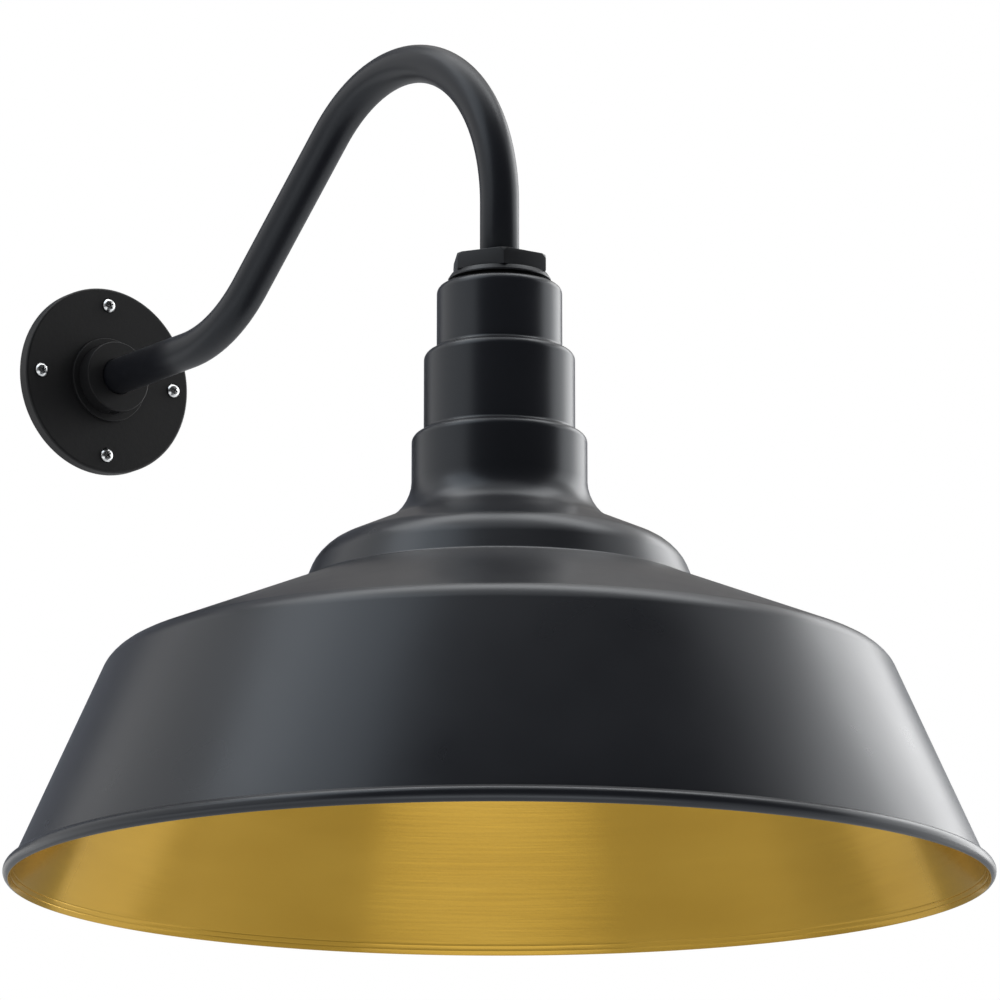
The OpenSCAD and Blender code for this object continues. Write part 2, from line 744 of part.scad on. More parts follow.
module neutral_strap() {
    color(bright_steel)
    at_axis(porcelain_top_z) difference() {
        union() {
            translate([strap_slot_x, -strap_w / 2, 0])
                cube([terminal_x + strap_w / 2 - strap_slot_x, strap_w, strap_t]);
            translate([strap_slot_x, -strap_w / 2, shell_top_z - porcelain_top_z])
                cube([strap_t, strap_w, porcelain_top_z - shell_top_z + strap_t]);
        }
        strap_hole(terminal_x);
    }
}

module terminal_screws() {
    shank = bare_wire_d + strap_t + terminal_shank_len;
    color(brass_yellow)
    for (s = [-1, 1])
        at_axis(porcelain_top_z + strap_t + bare_wire_d) translate([s * terminal_x, 0, 0]) {
            pan_head(terminal_head_r, terminal_head_h);
            translate([0, 0, -shank]) cylinder(r = terminal_shank_r, h = shank);
        }
}

module socket_screws() {
    shank = cap_roof_z - porcelain_top_z + socket_screw_grip - tapped_spare;
    color(bright_steel)
    for (s = [-1, 1])
        at_axis(cap_roof_z) translate([0, s * socket_screw_y, 0]) {
            pan_head(socket_screw_head_r, socket_screw_head_h);
            translate([0, 0, -shank]) cylinder(r = socket_screw_r, h = shank);
        }
}

// One lead: from the plate's back through the arm, out to its terminal and round the screw.
// side is -1 for the line lead and +1 for the neutral lead
module lead(side) {
    lead_r = lead_d / 2;
    sides = 24;
    x = lead_spacing / 2;
    turn_r = 3;
    turn_seam = 0.3;
    lead_start = 0.5;
    strap_top_z = porcelain_top_z + strap_t;
    run_z = strap_top_z + lead_r + fit_gap / 2;
    loop_z = strap_top_z + bare_wire_d / 2;
    bare_d = bare_wire_d - fit_gap;
    loop_r = terminal_shank_r + bare_wire_d / 2 + fit_gap;
    strip_x = terminal_x - terminal_head_r - bare_wire_d / 2;
    // The bare end leaves the insulation's middle and meets the loop along a tangent
    bare_start = 0.5;
    loop_sweep = 260;
    reach = terminal_x - strip_x + bare_start;
    slant = asin(loop_r / reach);
    arm_sweep(lead_r, side * x, lead_start, run_z + turn_r - turn_seam, sides);
    at_axis(0) rotate([0, 0, side < 0 ? 180 : 0]) {
        translate([x + turn_r, 0, run_z + turn_r]) rotate([90, 0, 0])
            rotate_extrude(angle = 90, start = 180) translate([turn_r, 0])
                circle(r = lead_r, $fn = sides);
        translate([x + turn_r - turn_seam, 0, run_z]) rotate([0, 90, 0])
            cylinder(r = lead_r - seam, h = strip_x - x - turn_r + turn_seam, $fn = sides);
        translate([terminal_x - reach, 0, loop_z]) rotate([0, 0, slant]) rotate([0, 90, 0])
            cylinder(d = bare_d - 2 * seam, h = reach * cos(slant) + turn_seam, $fn = sides);
        translate([terminal_x, 0, loop_z])
            rotate_extrude(angle = loop_sweep, start = 90 + slant - loop_sweep)
                translate([loop_r, 0]) circle(d = bare_d, $fn = sides);
    }
}

module line_lead() { color(lead_black) lead(-1); }
module neutral_lead() { color(lead_white) lead(1); }

wall_gasket();
back_plate();
plate_screws();
hub_set_screw();
ground_screw();
gooseneck_arm();
hex_nut();
bevelled_washer();
neck_gasket();
shade_skirt();
shade_dome();
shade_neck();
lock_washer();
inner_locknut();
socket_cap();
cap_set_screw();
wire_bushing();
lampholder_body();
screw_shell();
centre_contact();
contact_spring();
line_strap();
neutral_strap();
terminal_screws();
socket_screws();
line_lead();
neutral_lead();
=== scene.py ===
# %% [markdown]
# # A gooseneck wall light in black and gold
# The object is a barn light: a spun steel shade hangs from a bent pipe, and the pipe stands in
# the collar of a round cast plate on the wall. The CAD model already holds every solid in its
# true place, so this script only dresses it. Most pieces keep their CAD shape and get a finish.
# Eight are made again here, because the real ones are less plain than their solids: the shade
# with its rolled bead and gold lining, the pipe, the washer, rubber ring and nut on the shade's
# neck, the wall screws, and the threaded brass shell and coil spring of the lampholder.

import json
import math

import bmesh
import bpy
from mathutils import Matrix, Vector

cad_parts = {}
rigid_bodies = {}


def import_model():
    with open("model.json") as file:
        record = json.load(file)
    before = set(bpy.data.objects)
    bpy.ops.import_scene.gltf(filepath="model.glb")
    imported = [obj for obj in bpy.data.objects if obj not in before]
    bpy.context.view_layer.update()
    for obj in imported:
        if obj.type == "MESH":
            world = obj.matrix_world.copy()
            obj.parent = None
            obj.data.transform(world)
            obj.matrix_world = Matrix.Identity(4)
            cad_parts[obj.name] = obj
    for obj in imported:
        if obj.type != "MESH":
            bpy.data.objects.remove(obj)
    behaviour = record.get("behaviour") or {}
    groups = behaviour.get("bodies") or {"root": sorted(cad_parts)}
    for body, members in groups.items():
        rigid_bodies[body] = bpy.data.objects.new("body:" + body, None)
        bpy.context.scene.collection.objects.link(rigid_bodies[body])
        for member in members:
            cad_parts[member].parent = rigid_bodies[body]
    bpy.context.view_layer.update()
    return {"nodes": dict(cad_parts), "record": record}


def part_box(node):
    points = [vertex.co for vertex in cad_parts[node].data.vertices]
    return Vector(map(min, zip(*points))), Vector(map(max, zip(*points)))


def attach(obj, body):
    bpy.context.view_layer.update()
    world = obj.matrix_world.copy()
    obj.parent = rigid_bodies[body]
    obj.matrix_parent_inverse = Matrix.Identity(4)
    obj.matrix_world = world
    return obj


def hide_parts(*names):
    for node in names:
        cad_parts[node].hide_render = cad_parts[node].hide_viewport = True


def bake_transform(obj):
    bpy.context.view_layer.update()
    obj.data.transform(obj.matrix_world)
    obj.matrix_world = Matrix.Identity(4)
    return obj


for extra in list(bpy.data.objects):
    bpy.data.objects.remove(extra)
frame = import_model()
MM = 0.001

# %% [markdown]
# Every size below is read off the CAD nodes, or repeats a named value of the CAD source. Sizes
# of the pieces are in millimetres and are multiplied by MM where Blender wants metres. The
# shade hangs on a vertical axis, and its rim is the lowest edge of all.

# %% Places that everything else refers to
skirt_low, skirt_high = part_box("shade_skirt")
AXIS = Vector((0, (skirt_low.y + skirt_high.y) / 2, 0))
RIM_Z = skirt_low.z
RIM_R = (skirt_high.x - skirt_low.x) / 2
print("axis y, mm:", round(AXIS.y / MM, 2))
print("rim, mm: z", round(RIM_Z / MM, 2), "radius", round(RIM_R / MM, 2))

# %% [markdown]
# ## Camera
# The photograph was taken from a little below the rim, with a long lens, so that the shade
# hardly converges. The numbers come from its ellipses: the rim, the shoulder and the wall
# plate's circle of screws fix the distance, the height and both angles. A long lens could also
# be an orthographic camera, but then the far side of the rim would be as wide as the near one.

# %% Camera at the photograph's viewing angle
LENS_MM, SENSOR_MM = 215.05, 36
VIEW_TURN = math.radians(35.16)
VIEW_PITCH = math.radians(12.66)
VIEW_DISTANCE = 3.0286
VIEW_BELOW_RIM = 0.4781
VIEW_NUDGE = 0.00026

view_away = Vector((math.sin(VIEW_TURN), math.cos(VIEW_TURN), 0))
view_right = Vector((math.cos(VIEW_TURN), -math.sin(VIEW_TURN), 0))
view_up = Vector((0, 0, 1))

scene = bpy.context.scene
camera = bpy.data.objects.new("camera", bpy.data.cameras.new("camera"))
scene.collection.objects.link(camera)
scene.camera = camera
camera.location = AXIS - view_away * VIEW_DISTANCE + view_right * VIEW_NUDGE
camera.location.z = RIM_Z - VIEW_BELOW_RIM
camera.rotation_euler = (math.pi / 2 + VIEW_PITCH, 0, -VIEW_TURN)
camera.data.lens = LENS_MM
camera.data.sensor_width = SENSOR_MM
camera.data.clip_start, camera.data.clip_end = 0.1, 60
scene.view_settings.view_transform = "Standard"
print("camera at", [round(v, 3) for v in camera.location])

# %% [markdown]
# ## Studio
# Black satin paint shows hardly any colour of its own. What draws its shape is what it mirrors:
# in the photograph a bright soft box stands behind the object on the right with a dimmer panel
# beside it, a cool panel hangs high on the left and a strip overhead, and the front is dark.
# The gold inside mirrors what lies low, so a panel and three dim cards stand low round it. A
# bright world alone would light it too, but it draws no edges. So there are lamps, and each is
# placed by the direction in which the paint mirrors it, which is the view's direction turned
# over the surface's normal.

# %% Pale floor that keeps the shadow
FLOOR_Z = -1.5
FLOOR_REACH = 25
FLOOR_PALE = 0.86
FLOOR_GLOW = 0.42


def plain_node(tree, kind, **values):
    """A node of that kind, with its properties and its unlinked inputs set by name."""
    made = tree.nodes.new(kind)
    for key, value in values.items():
        if hasattr(made, key):
            setattr(made, key, value)
        else:
            made.inputs[key.replace("_", " ")].default_value = value
    return made


def join(tree, start, end):
    tree.links.new(start, end)


def new_material(name):
    material = bpy.data.materials.new(name)
    material.use_nodes = True
    material.node_tree.nodes.clear()
    return material, material.node_tree


floor_mesh = bmesh.new()
bmesh.ops.create_grid(floor_mesh, x_segments=2, y_segments=2, size=FLOOR_REACH)
bmesh.ops.translate(floor_mesh, verts=floor_mesh.verts, vec=(0, 0, FLOOR_Z))
floor_data = bpy.data.meshes.new("floor")
floor_mesh.to_mesh(floor_data)
floor_mesh.free()
floor = bpy.data.objects.new("floor", floor_data)
scene.collection.objects.link(floor)

# The camera also gets a little glow from the floor, so that it comes out pale and still shows
# the shadow. From below it is clear, so that views from there are open.
floor_paint, tree = new_material("pale_floor")
pale = plain_node(tree, "ShaderNodeBsdfDiffuse", Color=(FLOOR_PALE, FLOOR_PALE, FLOOR_PALE, 1))
glow = plain_node(tree, "ShaderNodeEmission", Color=(1, 1, 1, 1), Strength=FLOOR_GLOW)
dark = plain_node(tree, "ShaderNodeEmission", Color=(0, 0, 0, 1), Strength=0.0)
path = plain_node(tree, "ShaderNodeLightPath")
looked_at = plain_node(tree, "ShaderNodeMixShader")
lifted = plain_node(tree, "ShaderNodeAddShader")
clear = plain_node(tree, "ShaderNodeBsdfTransparent")
side = plain_node(tree, "ShaderNodeNewGeometry")
either = plain_node(tree, "ShaderNodeMixShader")
out = plain_node(tree, "ShaderNodeOutputMaterial")
join(tree, path.outputs["Is Camera Ray"], looked_at.inputs["Fac"])
join(tree, dark.outputs["Emission"], looked_at.inputs[1])
join(tree, glow.outputs["Emission"], looked_at.inputs[2])
join(tree, pale.outputs["BSDF"], lifted.inputs[0])
join(tree, looked_at.outputs["Shader"], lifted.inputs[1])
join(tree, side.outputs["Backfacing"], either.inputs["Fac"])
join(tree, lifted.outputs["Shader"], either.inputs[1])
join(tree, clear.outputs["BSDF"], either.inputs[2])
join(tree, either.outputs["Shader"], out.inputs["Surface"])
floor_data.materials.append(floor_paint)
print("floor at z, m:", FLOOR_Z)

# %% White background, and a plain even light from all round
# The camera, and rays that are mirrored or go through glass, see white. WORLD_LIGHT is what
# every other ray finds.
WORLD_LIGHT = 0.55

world = bpy.data.worlds.new("studio")
scene.world = world
world.use_nodes = True
tree = world.node_tree
tree.nodes.clear()
seen = plain_node(tree, "ShaderNodeBackground", Color=(1, 1, 1, 1), Strength=1.0)
lit = plain_node(tree, "ShaderNodeBackground", Color=(0.96, 0.98, 1, 1), Strength=WORLD_LIGHT)
path = plain_node(tree, "ShaderNodeLightPath")
shown_or_mirrored = plain_node(tree, "ShaderNodeMath", operation="MAXIMUM")
or_through_glass = plain_node(tree, "ShaderNodeMath", operation="MAXIMUM")
either = plain_node(tree, "ShaderNodeMixShader")
out = plain_node(tree, "ShaderNodeOutputWorld")
join(tree, path.outputs["Is Camera Ray"], shown_or_mirrored.inputs[0])
join(tree, path.outputs["Is Glossy Ray"], shown_or_mirrored.inputs[1])
join(tree, shown_or_mirrored.outputs[0], or_through_glass.inputs[0])
join(tree, path.outputs["Is Transmission Ray"], or_through_glass.inputs[1])
join(tree, or_through_glass.outputs[0], either.inputs["Fac"])
join(tree, lit.outputs[0], either.inputs[1])
join(tree, seen.outputs[0], either.inputs[2])
join(tree, either.outputs["Shader"], out.inputs["Surface"])
world.cycles.sampling_method = "NONE"
print("world light:", WORLD_LIGHT)

# %% Soft lamps
SHADE_MIDDLE = AXIS + Vector((0, 0, RIM_Z + 0.12))


def direction(turn, rise):
    """The way out from the shade: turn is in degrees from the camera's side, to the right, and
    rise is in degrees above the horizon."""
    turn, rise = math.radians(turn), math.radians(rise)
    level = -view_away * math.cos(turn) + view_right * math.sin(turn)
    return level * math.cos(rise) + view_up * math.sin(rise)


def soft_lamp(name, turn, rise, distance, width, height, glow, colour=(1, 1, 1)):
    """A rectangular lamp that faces the shade, with its distance and sides in metres. glow is
    how bright its face is: 1 is paper white."""
    lamp = bpy.data.lights.new(name, "AREA")
    lamp.shape = "RECTANGLE"
    lamp.size, lamp.size_y = width, height
    lamp.energy = glow * math.pi * width * height
    lamp.color = colour
    way = direction(turn, rise)
    holder = bpy.data.objects.new(name, lamp)
    scene.collection.objects.link(holder)
    holder.location = SHADE_MIDDLE + way * distance
    holder.rotation_euler = way.to_track_quat("Z", "Y").to_euler()
    holder.visible_camera = False
    print(name, "at", [round(v, 2) for v in holder.location])


soft_lamp("right_box", 134, 17, 2.4, 1.3, 2.0, 2.95)
soft_lamp("right_side_panel", 103, 17, 2.4, 1.3, 2.0, 1.4)
soft_lamp("left_panel", -63, 53, 2.6, 1.5, 1.7, 1.9, (0.88, 0.94, 1))
soft_lamp("overhead_strip", 180, 78, 2.0, 2.6, 0.7, 2.6)
soft_lamp("low_front_panel", 4, -40, 1.6, 1.6, 0.6, 1.35)
soft_lamp("low_front_card", -60, -28, 2.2, 2.0, 0.9, 0.8)
soft_lamp("low_right_card", 112, -16, 2.4, 2.6, 1.0, 0.95)
soft_lamp("low_left_card", -112, -14, 2.4, 2.5, 0.9, 0.72)

# %% [markdown]
# A white room would wash out a black object: its edges mirror the walls behind it, and melt
# into them. Photographers hang black cloths, called flags, where the object mirrors too much
# white. Curved ones stand here: black ones in front, the low one narrower than the high one,
# and grey and pale ones behind. Lamps could be moved instead, but each would then change all
# other edges. The flags are seen in reflections only, so they take no light away and throw no
# shadow on the floor.

# %% Flags
FLAG_DISTANCE = 3.2
FLAG_STEPS = 24


def hang_flag(name, from_turn, to_turn, low, high, cloth):
    """A cloth hung on an arc round the shade, from one turn to the other. low and high are
    metres over the shade's middle."""
    bm = bmesh.new()
    foot = SHADE_MIDDLE + direction(from_turn, 0) * FLAG_DISTANCE
    ends = [bm.verts.new((foot.x, foot.y, SHADE_MIDDLE.z + height)) for height in (low, high)]
    edge = bm.edges.new(ends)
    bmesh.ops.spin(
        bm, geom=[edge, *ends], cent=SHADE_MIDDLE, axis=(0, 0, 1), dvec=(0, 0, 0),
        angle=math.radians(to_turn - from_turn), steps=FLAG_STEPS, use_merge=False,
        use_duplicate=False,
    )
    data = bpy.data.meshes.new(name)
    bm.to_mesh(data)
    bm.free()
    flag = bpy.data.objects.new(name, data)
    scene.collection.objects.link(flag)
    flag.visible_camera = flag.visible_diffuse = flag.visible_shadow = False
    flag.visible_transmission = flag.visible_volume_scatter = False
    data.materials.append(cloth)


def plain_cloth(name, *colour):
    material, tree = new_material(name)
    cloth = plain_node(tree, "ShaderNodeBsdfDiffuse", Color=(*colour, 1))
    out = plain_node(tree, "ShaderNodeOutputMaterial")
    join(tree, cloth.outputs["BSDF"], out.inputs["Surface"])
    return material


black_cloth = plain_cloth("black_cloth", 0.02, 0.02, 0.02)
grey_cloth = plain_cloth("grey_cloth", 0.255, 0.27, 0.31)
pale_cloth = plain_cloth("pale_cloth", 0.52, 0.49, 0.47)
hang_flag("front_flag_low", -42, 84, -0.5, 2.2, black_cloth)
hang_flag("front_flag_high", -66, 80, 2.2, 7.0, black_cloth)
hang_flag("back_flag_low", 150, 226, 0.35, 1.25, grey_cloth)
hang_flag("back_flag_right", 160, 190, 1.25, 3.2, pale_cloth)
hang_flag("back_flag_left", 190, 226, 1.25, 3.2, grey_cloth)
hang_flag("back_flag_top", 196, 250, 3.5, 7.0, grey_cloth)
print("flags stand at, m:", FLAG_DISTANCE)

# %% [markdown]
# ## Finishes
# Each effect that several finishes share is a small node group with its own named inputs: the
# grain of a powder coat, the fine lines of turned or brushed metal, edges that turn lighter,
# partly as rubbed paint and partly as a painted highlight, and dust that settles on what faces
# up. A group hands out masks and heights only, and each material mixes them into its own shader
# with its own values.

# %% What the node groups are built with


def shader_group(name, inputs, outputs):
    """An empty shader group with named number inputs (with defaults) and number outputs."""
    group = bpy.data.node_groups.new(name, "ShaderNodeTree")
    for socket, value in inputs.items():
        made = group.interface.new_socket(socket, in_out="INPUT", socket_type="NodeSocketFloat")
        made.default_value = value
    for socket in outputs:
        group.interface.new_socket(socket, in_out="OUTPUT", socket_type="NodeSocketFloat")
    return group, group.nodes.new("NodeGroupInput"), group.nodes.new("NodeGroupOutput")


def noise(group, vector, scale, detail=3.0, roughness=0.5):
    made = plain_node(group, "ShaderNodeTexNoise", Detail=detail, Roughness=roughness)
    join(group, vector, made.inputs["Vector"])
    if isinstance(scale, (int, float)):
        made.inputs["Scale"].default_value = scale
    else:
        join(group, scale, made.inputs["Scale"])
    return made.outputs["Fac"]


def maths(group, operation, first, second=None, clamp=False):
    made = plain_node(group, "ShaderNodeMath", operation=operation, use_clamp=clamp)
    for slot, value in enumerate((first, second)):
        if isinstance(value, (int, float)):
            made.inputs[slot].default_value = value
        elif value is not None:
            join(group, value, made.inputs[slot])
    return made.outputs[0]


def between(group, value, low, high):
    """0 below low and 1 above high, smooth between them."""
    made = plain_node(group, "ShaderNodeMapRange", interpolation_type="SMOOTHSTEP")
    made.inputs["From Min"].default_value = low
    made.inputs["From Max"].default_value = high
    join(group, value, made.inputs["Value"])
    return made.outputs["Result"]


# %% Grain of a baked powder coat
# Orange peel is a slow wave a few millimetres long, and the powder's own grain is far finer.
# Patches some 50 mm wide differ a little in colour and gloss.
PATCH_SCALE = 18.0
powder_grain, into, outof = shader_group(
    "powder_grain",
    {"Peel scale": 260.0, "Grain scale": 2600.0, "Grain share": 0.35},
    ["Height", "Patches"],
)
place = plain_node(powder_grain, "ShaderNodeTexCoord").outputs["Object"]
peel = noise(powder_grain, place, into.outputs["Peel scale"], 2.0)
fine = noise(powder_grain, place, into.outputs["Grain scale"], 2.0, 0.6)
fine = maths(powder_grain, "MULTIPLY", fine, into.outputs["Grain share"])
join(powder_grain, maths(powder_grain, "ADD", peel, fine), outof.inputs["Height"])
join(powder_grain, noise(powder_grain, place, PATCH_SCALE, 3.0), outof.inputs["Patches"])
print("powder grain:", len(powder_grain.nodes), "nodes")

# %% Lines that run round the shade's axis
# The angle round the axis times a small number, and the height times a large one, give a noise
# that is long round the axis and thin across it, as a brush or a lathe tool leaves. The bands
# are the same noise, drawn out far wider.
BAND_SHARE = 0.08
round_lines, into, outof = shader_group(
    "round_lines", {"Axis y": 0.0, "Fineness": 900.0, "Length": 3.0}, ["Lines", "Bands"]
)
place = plain_node(round_lines, "ShaderNodeTexCoord").outputs["Object"]
apart = plain_node(round_lines, "ShaderNodeSeparateXYZ")
join(round_lines, place, apart.inputs[0])
from_axis = maths(round_lines, "SUBTRACT", apart.outputs["Y"], into.outputs["Axis y"])
turned = plain_node(round_lines, "ShaderNodeMath", operation="ARCTAN2")
join(round_lines, apart.outputs["X"], turned.inputs[0])
join(round_lines, from_axis, turned.inputs[1])
across = maths(round_lines, "MULTIPLY", turned.outputs[0], into.outputs["Length"])
radius_squared = maths(
    round_lines,
    "ADD",
    maths(round_lines, "MULTIPLY", apart.outputs["X"], apart.outputs["X"]),
    maths(round_lines, "MULTIPLY", from_axis, from_axis),
)
radius = maths(round_lines, "SQRT", radius_squared)
out_and_up = maths(round_lines, "ADD", apart.outputs["Z"], radius)
along = maths(round_lines, "MULTIPLY", out_and_up, into.outputs["Fineness"])
stretched = plain_node(round_lines, "ShaderNodeCombineXYZ")
join(round_lines, across, stretched.inputs["X"])
join(round_lines, along, stretched.inputs["Y"])
thin = noise(round_lines, stretched.outputs[0], 1.0, 3.0, 0.65)
join(round_lines, thin, outof.inputs["Lines"])
slow = plain_node(round_lines, "ShaderNodeCombineXYZ")
join(round_lines, across, slow.inputs["X"])
join(round_lines, maths(round_lines, "MULTIPLY", along, BAND_SHARE), slow.inputs["Y"])
join(round_lines, noise(round_lines, slow.outputs[0], 1.0, 2.0), outof.inputs["Bands"])
print("round lines:", len(round_lines.nodes), "nodes")

# %% Rubbed edges that also carry a painted highlight, and dust on what faces up
# Sharp edges turn lighter: partly paint rubbed off, and partly a painted highlight along them.
RIDGE_FROM, RIDGE_TO = 0.53, 0.6
RUB_AND_HIGHLIGHT_SCALE = 190.0
FACES_UP_FROM = 0.55
edge_rub_and_highlight, into, outof = shader_group("edge_rub_and_highlight", {"Amount": 0.5}, ["Rub"])
shape = plain_node(edge_rub_and_highlight, "ShaderNodeNewGeometry")
place = plain_node(edge_rub_and_highlight, "ShaderNodeTexCoord").outputs["Object"]
ridge = between(edge_rub_and_highlight, shape.outputs["Pointiness"], RIDGE_FROM, RIDGE_TO)
patchy = between(edge_rub_and_highlight, noise(edge_rub_and_highlight, place, RUB_AND_HIGHLIGHT_SCALE, 4.0, 0.7), 0.4, 0.75)
rub_and_highlight = maths(edge_rub_and_highlight, "MULTIPLY", ridge, patchy)
rub_and_highlight = maths(edge_rub_and_highlight, "MULTIPLY", rub_and_highlight, into.outputs["Amount"], True)
join(edge_rub_and_highlight, rub_and_highlight, outof.inputs["Rub"])

settled_dust, into, outof = shader_group(
    "settled_dust", {"Amount": 0.3, "Scale": 45.0}, ["Dust"]
)
shape = plain_node(settled_dust, "ShaderNodeNewGeometry")
apart = plain_node(settled_dust, "ShaderNodeSeparateXYZ")
join(settled_dust, shape.outputs["Normal"], apart.inputs[0])
place = plain_node(settled_dust, "ShaderNodeTexCoord").outputs["Object"]
faces_up = between(settled_dust, apart.outputs["Z"], FACES_UP_FROM, 1.0)
lies = noise(settled_dust, place, into.outputs["Scale"], 5.0, 0.65)
lies = between(settled_dust, lies, 0.3, 0.8)
dust = maths(settled_dust, "MULTIPLY", faces_up, lies)
dust = maths(settled_dust, "MULTIPLY", dust, into.outputs["Amount"], True)
join(settled_dust, dust, outof.inputs["Dust"])
print("groups:", [g.name for g in bpy.data.node_groups])

# %% [markdown]
# A finish is one Principled shader. Its steady values are set on the shader itself, and the
# groups only steer what changes over the surface: colour, roughness and the bump's height.

# %% What every finish is built with
finishes = {}
# The Mix node has a socket for each kind of data, and these are its colour ones.
FIRST_COLOUR, SECOND_COLOUR, MIXED_COLOUR = 6, 7, 2
NOISE_LOW, NOISE_HIGH = 0.3, 0.7


def use_group(tree, group, **values):
    made = tree.nodes.new("ShaderNodeGroup")
    made.node_tree = group
    for key, value in values.items():
        made.inputs[key.replace("_", " ")].default_value = value
    return made.outputs


def blend_colour(tree, share, first, second):
    """The colour first where share is 0 and second where it is 1. Each is a colour or a socket."""
    made = plain_node(tree, "ShaderNodeMix", data_type="RGBA")
    join(tree, share, made.inputs["Factor"])
    for slot, value in ((FIRST_COLOUR, first), (SECOND_COLOUR, second)):
        if isinstance(value, tuple):
            made.inputs[slot].default_value = (*value, 1)
        else:
            join(tree, value, made.inputs[slot])
    return made.outputs[MIXED_COLOUR]


def spread(tree, value, low, high):
    """A number that runs from low to high as value runs over the usual range of a noise."""
    made = plain_node(tree, "ShaderNodeMapRange", To_Min=low, To_Max=high)
    made.inputs["From Min"].default_value = NOISE_LOW
    made.inputs["From Max"].default_value = NOISE_HIGH
    join(tree, value, made.inputs["Value"])
    return made.outputs["Result"]


def shader_of(name, **steady):
    """A new finish: one Principled shader whose steady inputs are set by name."""
    finishes[name], tree = new_material(name)
    shader = plain_node(tree, "ShaderNodeBsdfPrincipled", **steady)
    out = plain_node(tree, "ShaderNodeOutputMaterial")
    join(tree, shader.outputs["BSDF"], out.inputs["Surface"])
    return tree, shader


def raise_bumps(tree, shader, height, depth_mm, strength=1.0):
    bump = plain_node(tree, "ShaderNodeBump", Strength=strength, Distance=depth_mm * MM)
    join(tree, height, bump.inputs["Height"])
    join(tree, bump.outputs["Normal"], shader.inputs["Normal"])


# %% [markdown]
# The outside is powder coated: charged powder is blown on and baked to a satin skin. It is
# never quite even, so its grain shows where a highlight runs out. A noise in the colour alone
# would look printed on, so the grain goes into the bump, and slow patches turn the gloss up and
# down a little. The cast plate is rougher than the spun and drawn pieces.

# %% Black powder coats
PATCH_LIFT = 1.25
DUST_ROUGHENS = 0.4
DUST_COLOUR = (0.13, 0.125, 0.118)
# The coats' reflections are tinted cool: a painted reflection that gives the mirrored studio a
# bluish cast.
PAINTED_COOL_REFLECTION = (0.88, 0.94, 1.0, 1)
# The edges' lighter colour is partly rubbed paint and partly a painted highlight.
RUBBED_AND_LIT_EDGE_COLOUR = (0.06, 0.062, 0.065)


def powder_coat(
    name, colour, rough, peel_mm, dust, rub_and_highlight, gloss,
    grain_share=0.35, peel_scale=260.0, tint=PAINTED_COOL_REFLECTION,
):
    """A baked coat: its colour, its lowest and highest roughness, and how deep its peel is."""
    tree, shader = shader_of(name, Specular_IOR_Level=gloss, IOR=1.5, Specular_Tint=tint)
    grain = use_group(tree, powder_grain, Grain_share=grain_share, Peel_scale=peel_scale)
    rubbed_and_lit = use_group(tree, edge_rub_and_highlight, Amount=rub_and_highlight)["Rub"]
    dusty = use_group(tree, settled_dust, Amount=dust)["Dust"]
    lifted = tuple(c * PATCH_LIFT for c in colour)
    painted = blend_colour(tree, grain["Patches"], colour, lifted)
    worn_and_lit = blend_colour(tree, rubbed_and_lit, painted, RUBBED_AND_LIT_EDGE_COLOUR)
    join(tree, blend_colour(tree, dusty, worn_and_lit, DUST_COLOUR), shader.inputs["Base Color"])
    roughness = spread(tree, grain["Patches"], *rough)
    duller = maths(tree, "MULTIPLY", dusty, DUST_ROUGHENS)
    join(tree, maths(tree, "ADD", roughness, duller, True), shader.inputs["Roughness"])
    raise_bumps(tree, shader, grain["Height"], peel_mm)


powder_coat(
    "shade_coat", (0.0090, 0.0095, 0.0122), (0.27, 0.32),
    peel_mm=0.006, dust=0.05, rub_and_highlight=0.2, gloss=0.42,
)
powder_coat(
    "black_coat", (0.0082, 0.0087, 0.0112), (0.31, 0.38),
    peel_mm=0.010, dust=0.06, rub_and_highlight=0.15, gloss=0.31,
)
powder_coat(
    "black_casting", (0.0076, 0.0076, 0.0082), (0.42, 0.54),
    peel_mm=0.045, dust=0.10, rub_and_highlight=0.0, gloss=0.24,
    grain_share=0.8, peel_scale=420.0, tint=(1, 1, 1, 1),
)
powder_coat(
    "black_fittings", (0.008, 0.008, 0.009), (0.34, 0.42),
    peel_mm=0.010, dust=0.05, rub_and_highlight=0.4, gloss=0.4,
)
print("coats:", list(finishes))

# %% [markdown]
# The inside is sprayed a warm gold and brushed round, so its lines run round the axis and it
# mirrors the studio in tall soft bands. It is part metal and part lacquer. An anisotropic
# shader would stretch its highlights with no lines at all, so the lines are a bump instead.

# %% Gold lining
GOLD = (0.415, 0.252, 0.030)
GOLD_DEEP = (0.378, 0.224, 0.0235)
GOLD_GLOSS = (0.70, 0.58, 0.30, 1)
LINING_ROUGH = (0.15, 0.22)
BRUSHED_MM = 0.045
tree, shader = shader_of(
    "gold_lining", Metallic=0.65, Specular_IOR_Level=0.25, Specular_Tint=GOLD_GLOSS,
    Coat_Weight=0.25, Coat_Roughness=0.14,
)
lines = use_group(tree, round_lines, Axis_y=AXIS.y, Fineness=700.0, Length=2.2)
golden = blend_colour(tree, spread(tree, lines["Bands"], 0, 1), GOLD_DEEP, GOLD)
join(tree, golden, shader.inputs["Base Color"])
join(tree, spread(tree, lines["Lines"], *LINING_ROUGH), shader.inputs["Roughness"])
raise_bumps(tree, shader, lines["Lines"], BRUSHED_MM)
print("gold lining:", len(tree.nodes), "nodes")

# %% [markdown]
# The fixings are steel, zinc or nickel, and what carries the current is brass. All of them are
# mirrors with fine scratches, and the tint of a metal is its base colour. Each could have its
# own nodes, but they differ only in tint, gloss and stain, so one function makes them all.

# %% Bare and plated metals
SCRATCH_SCALE = 700.0


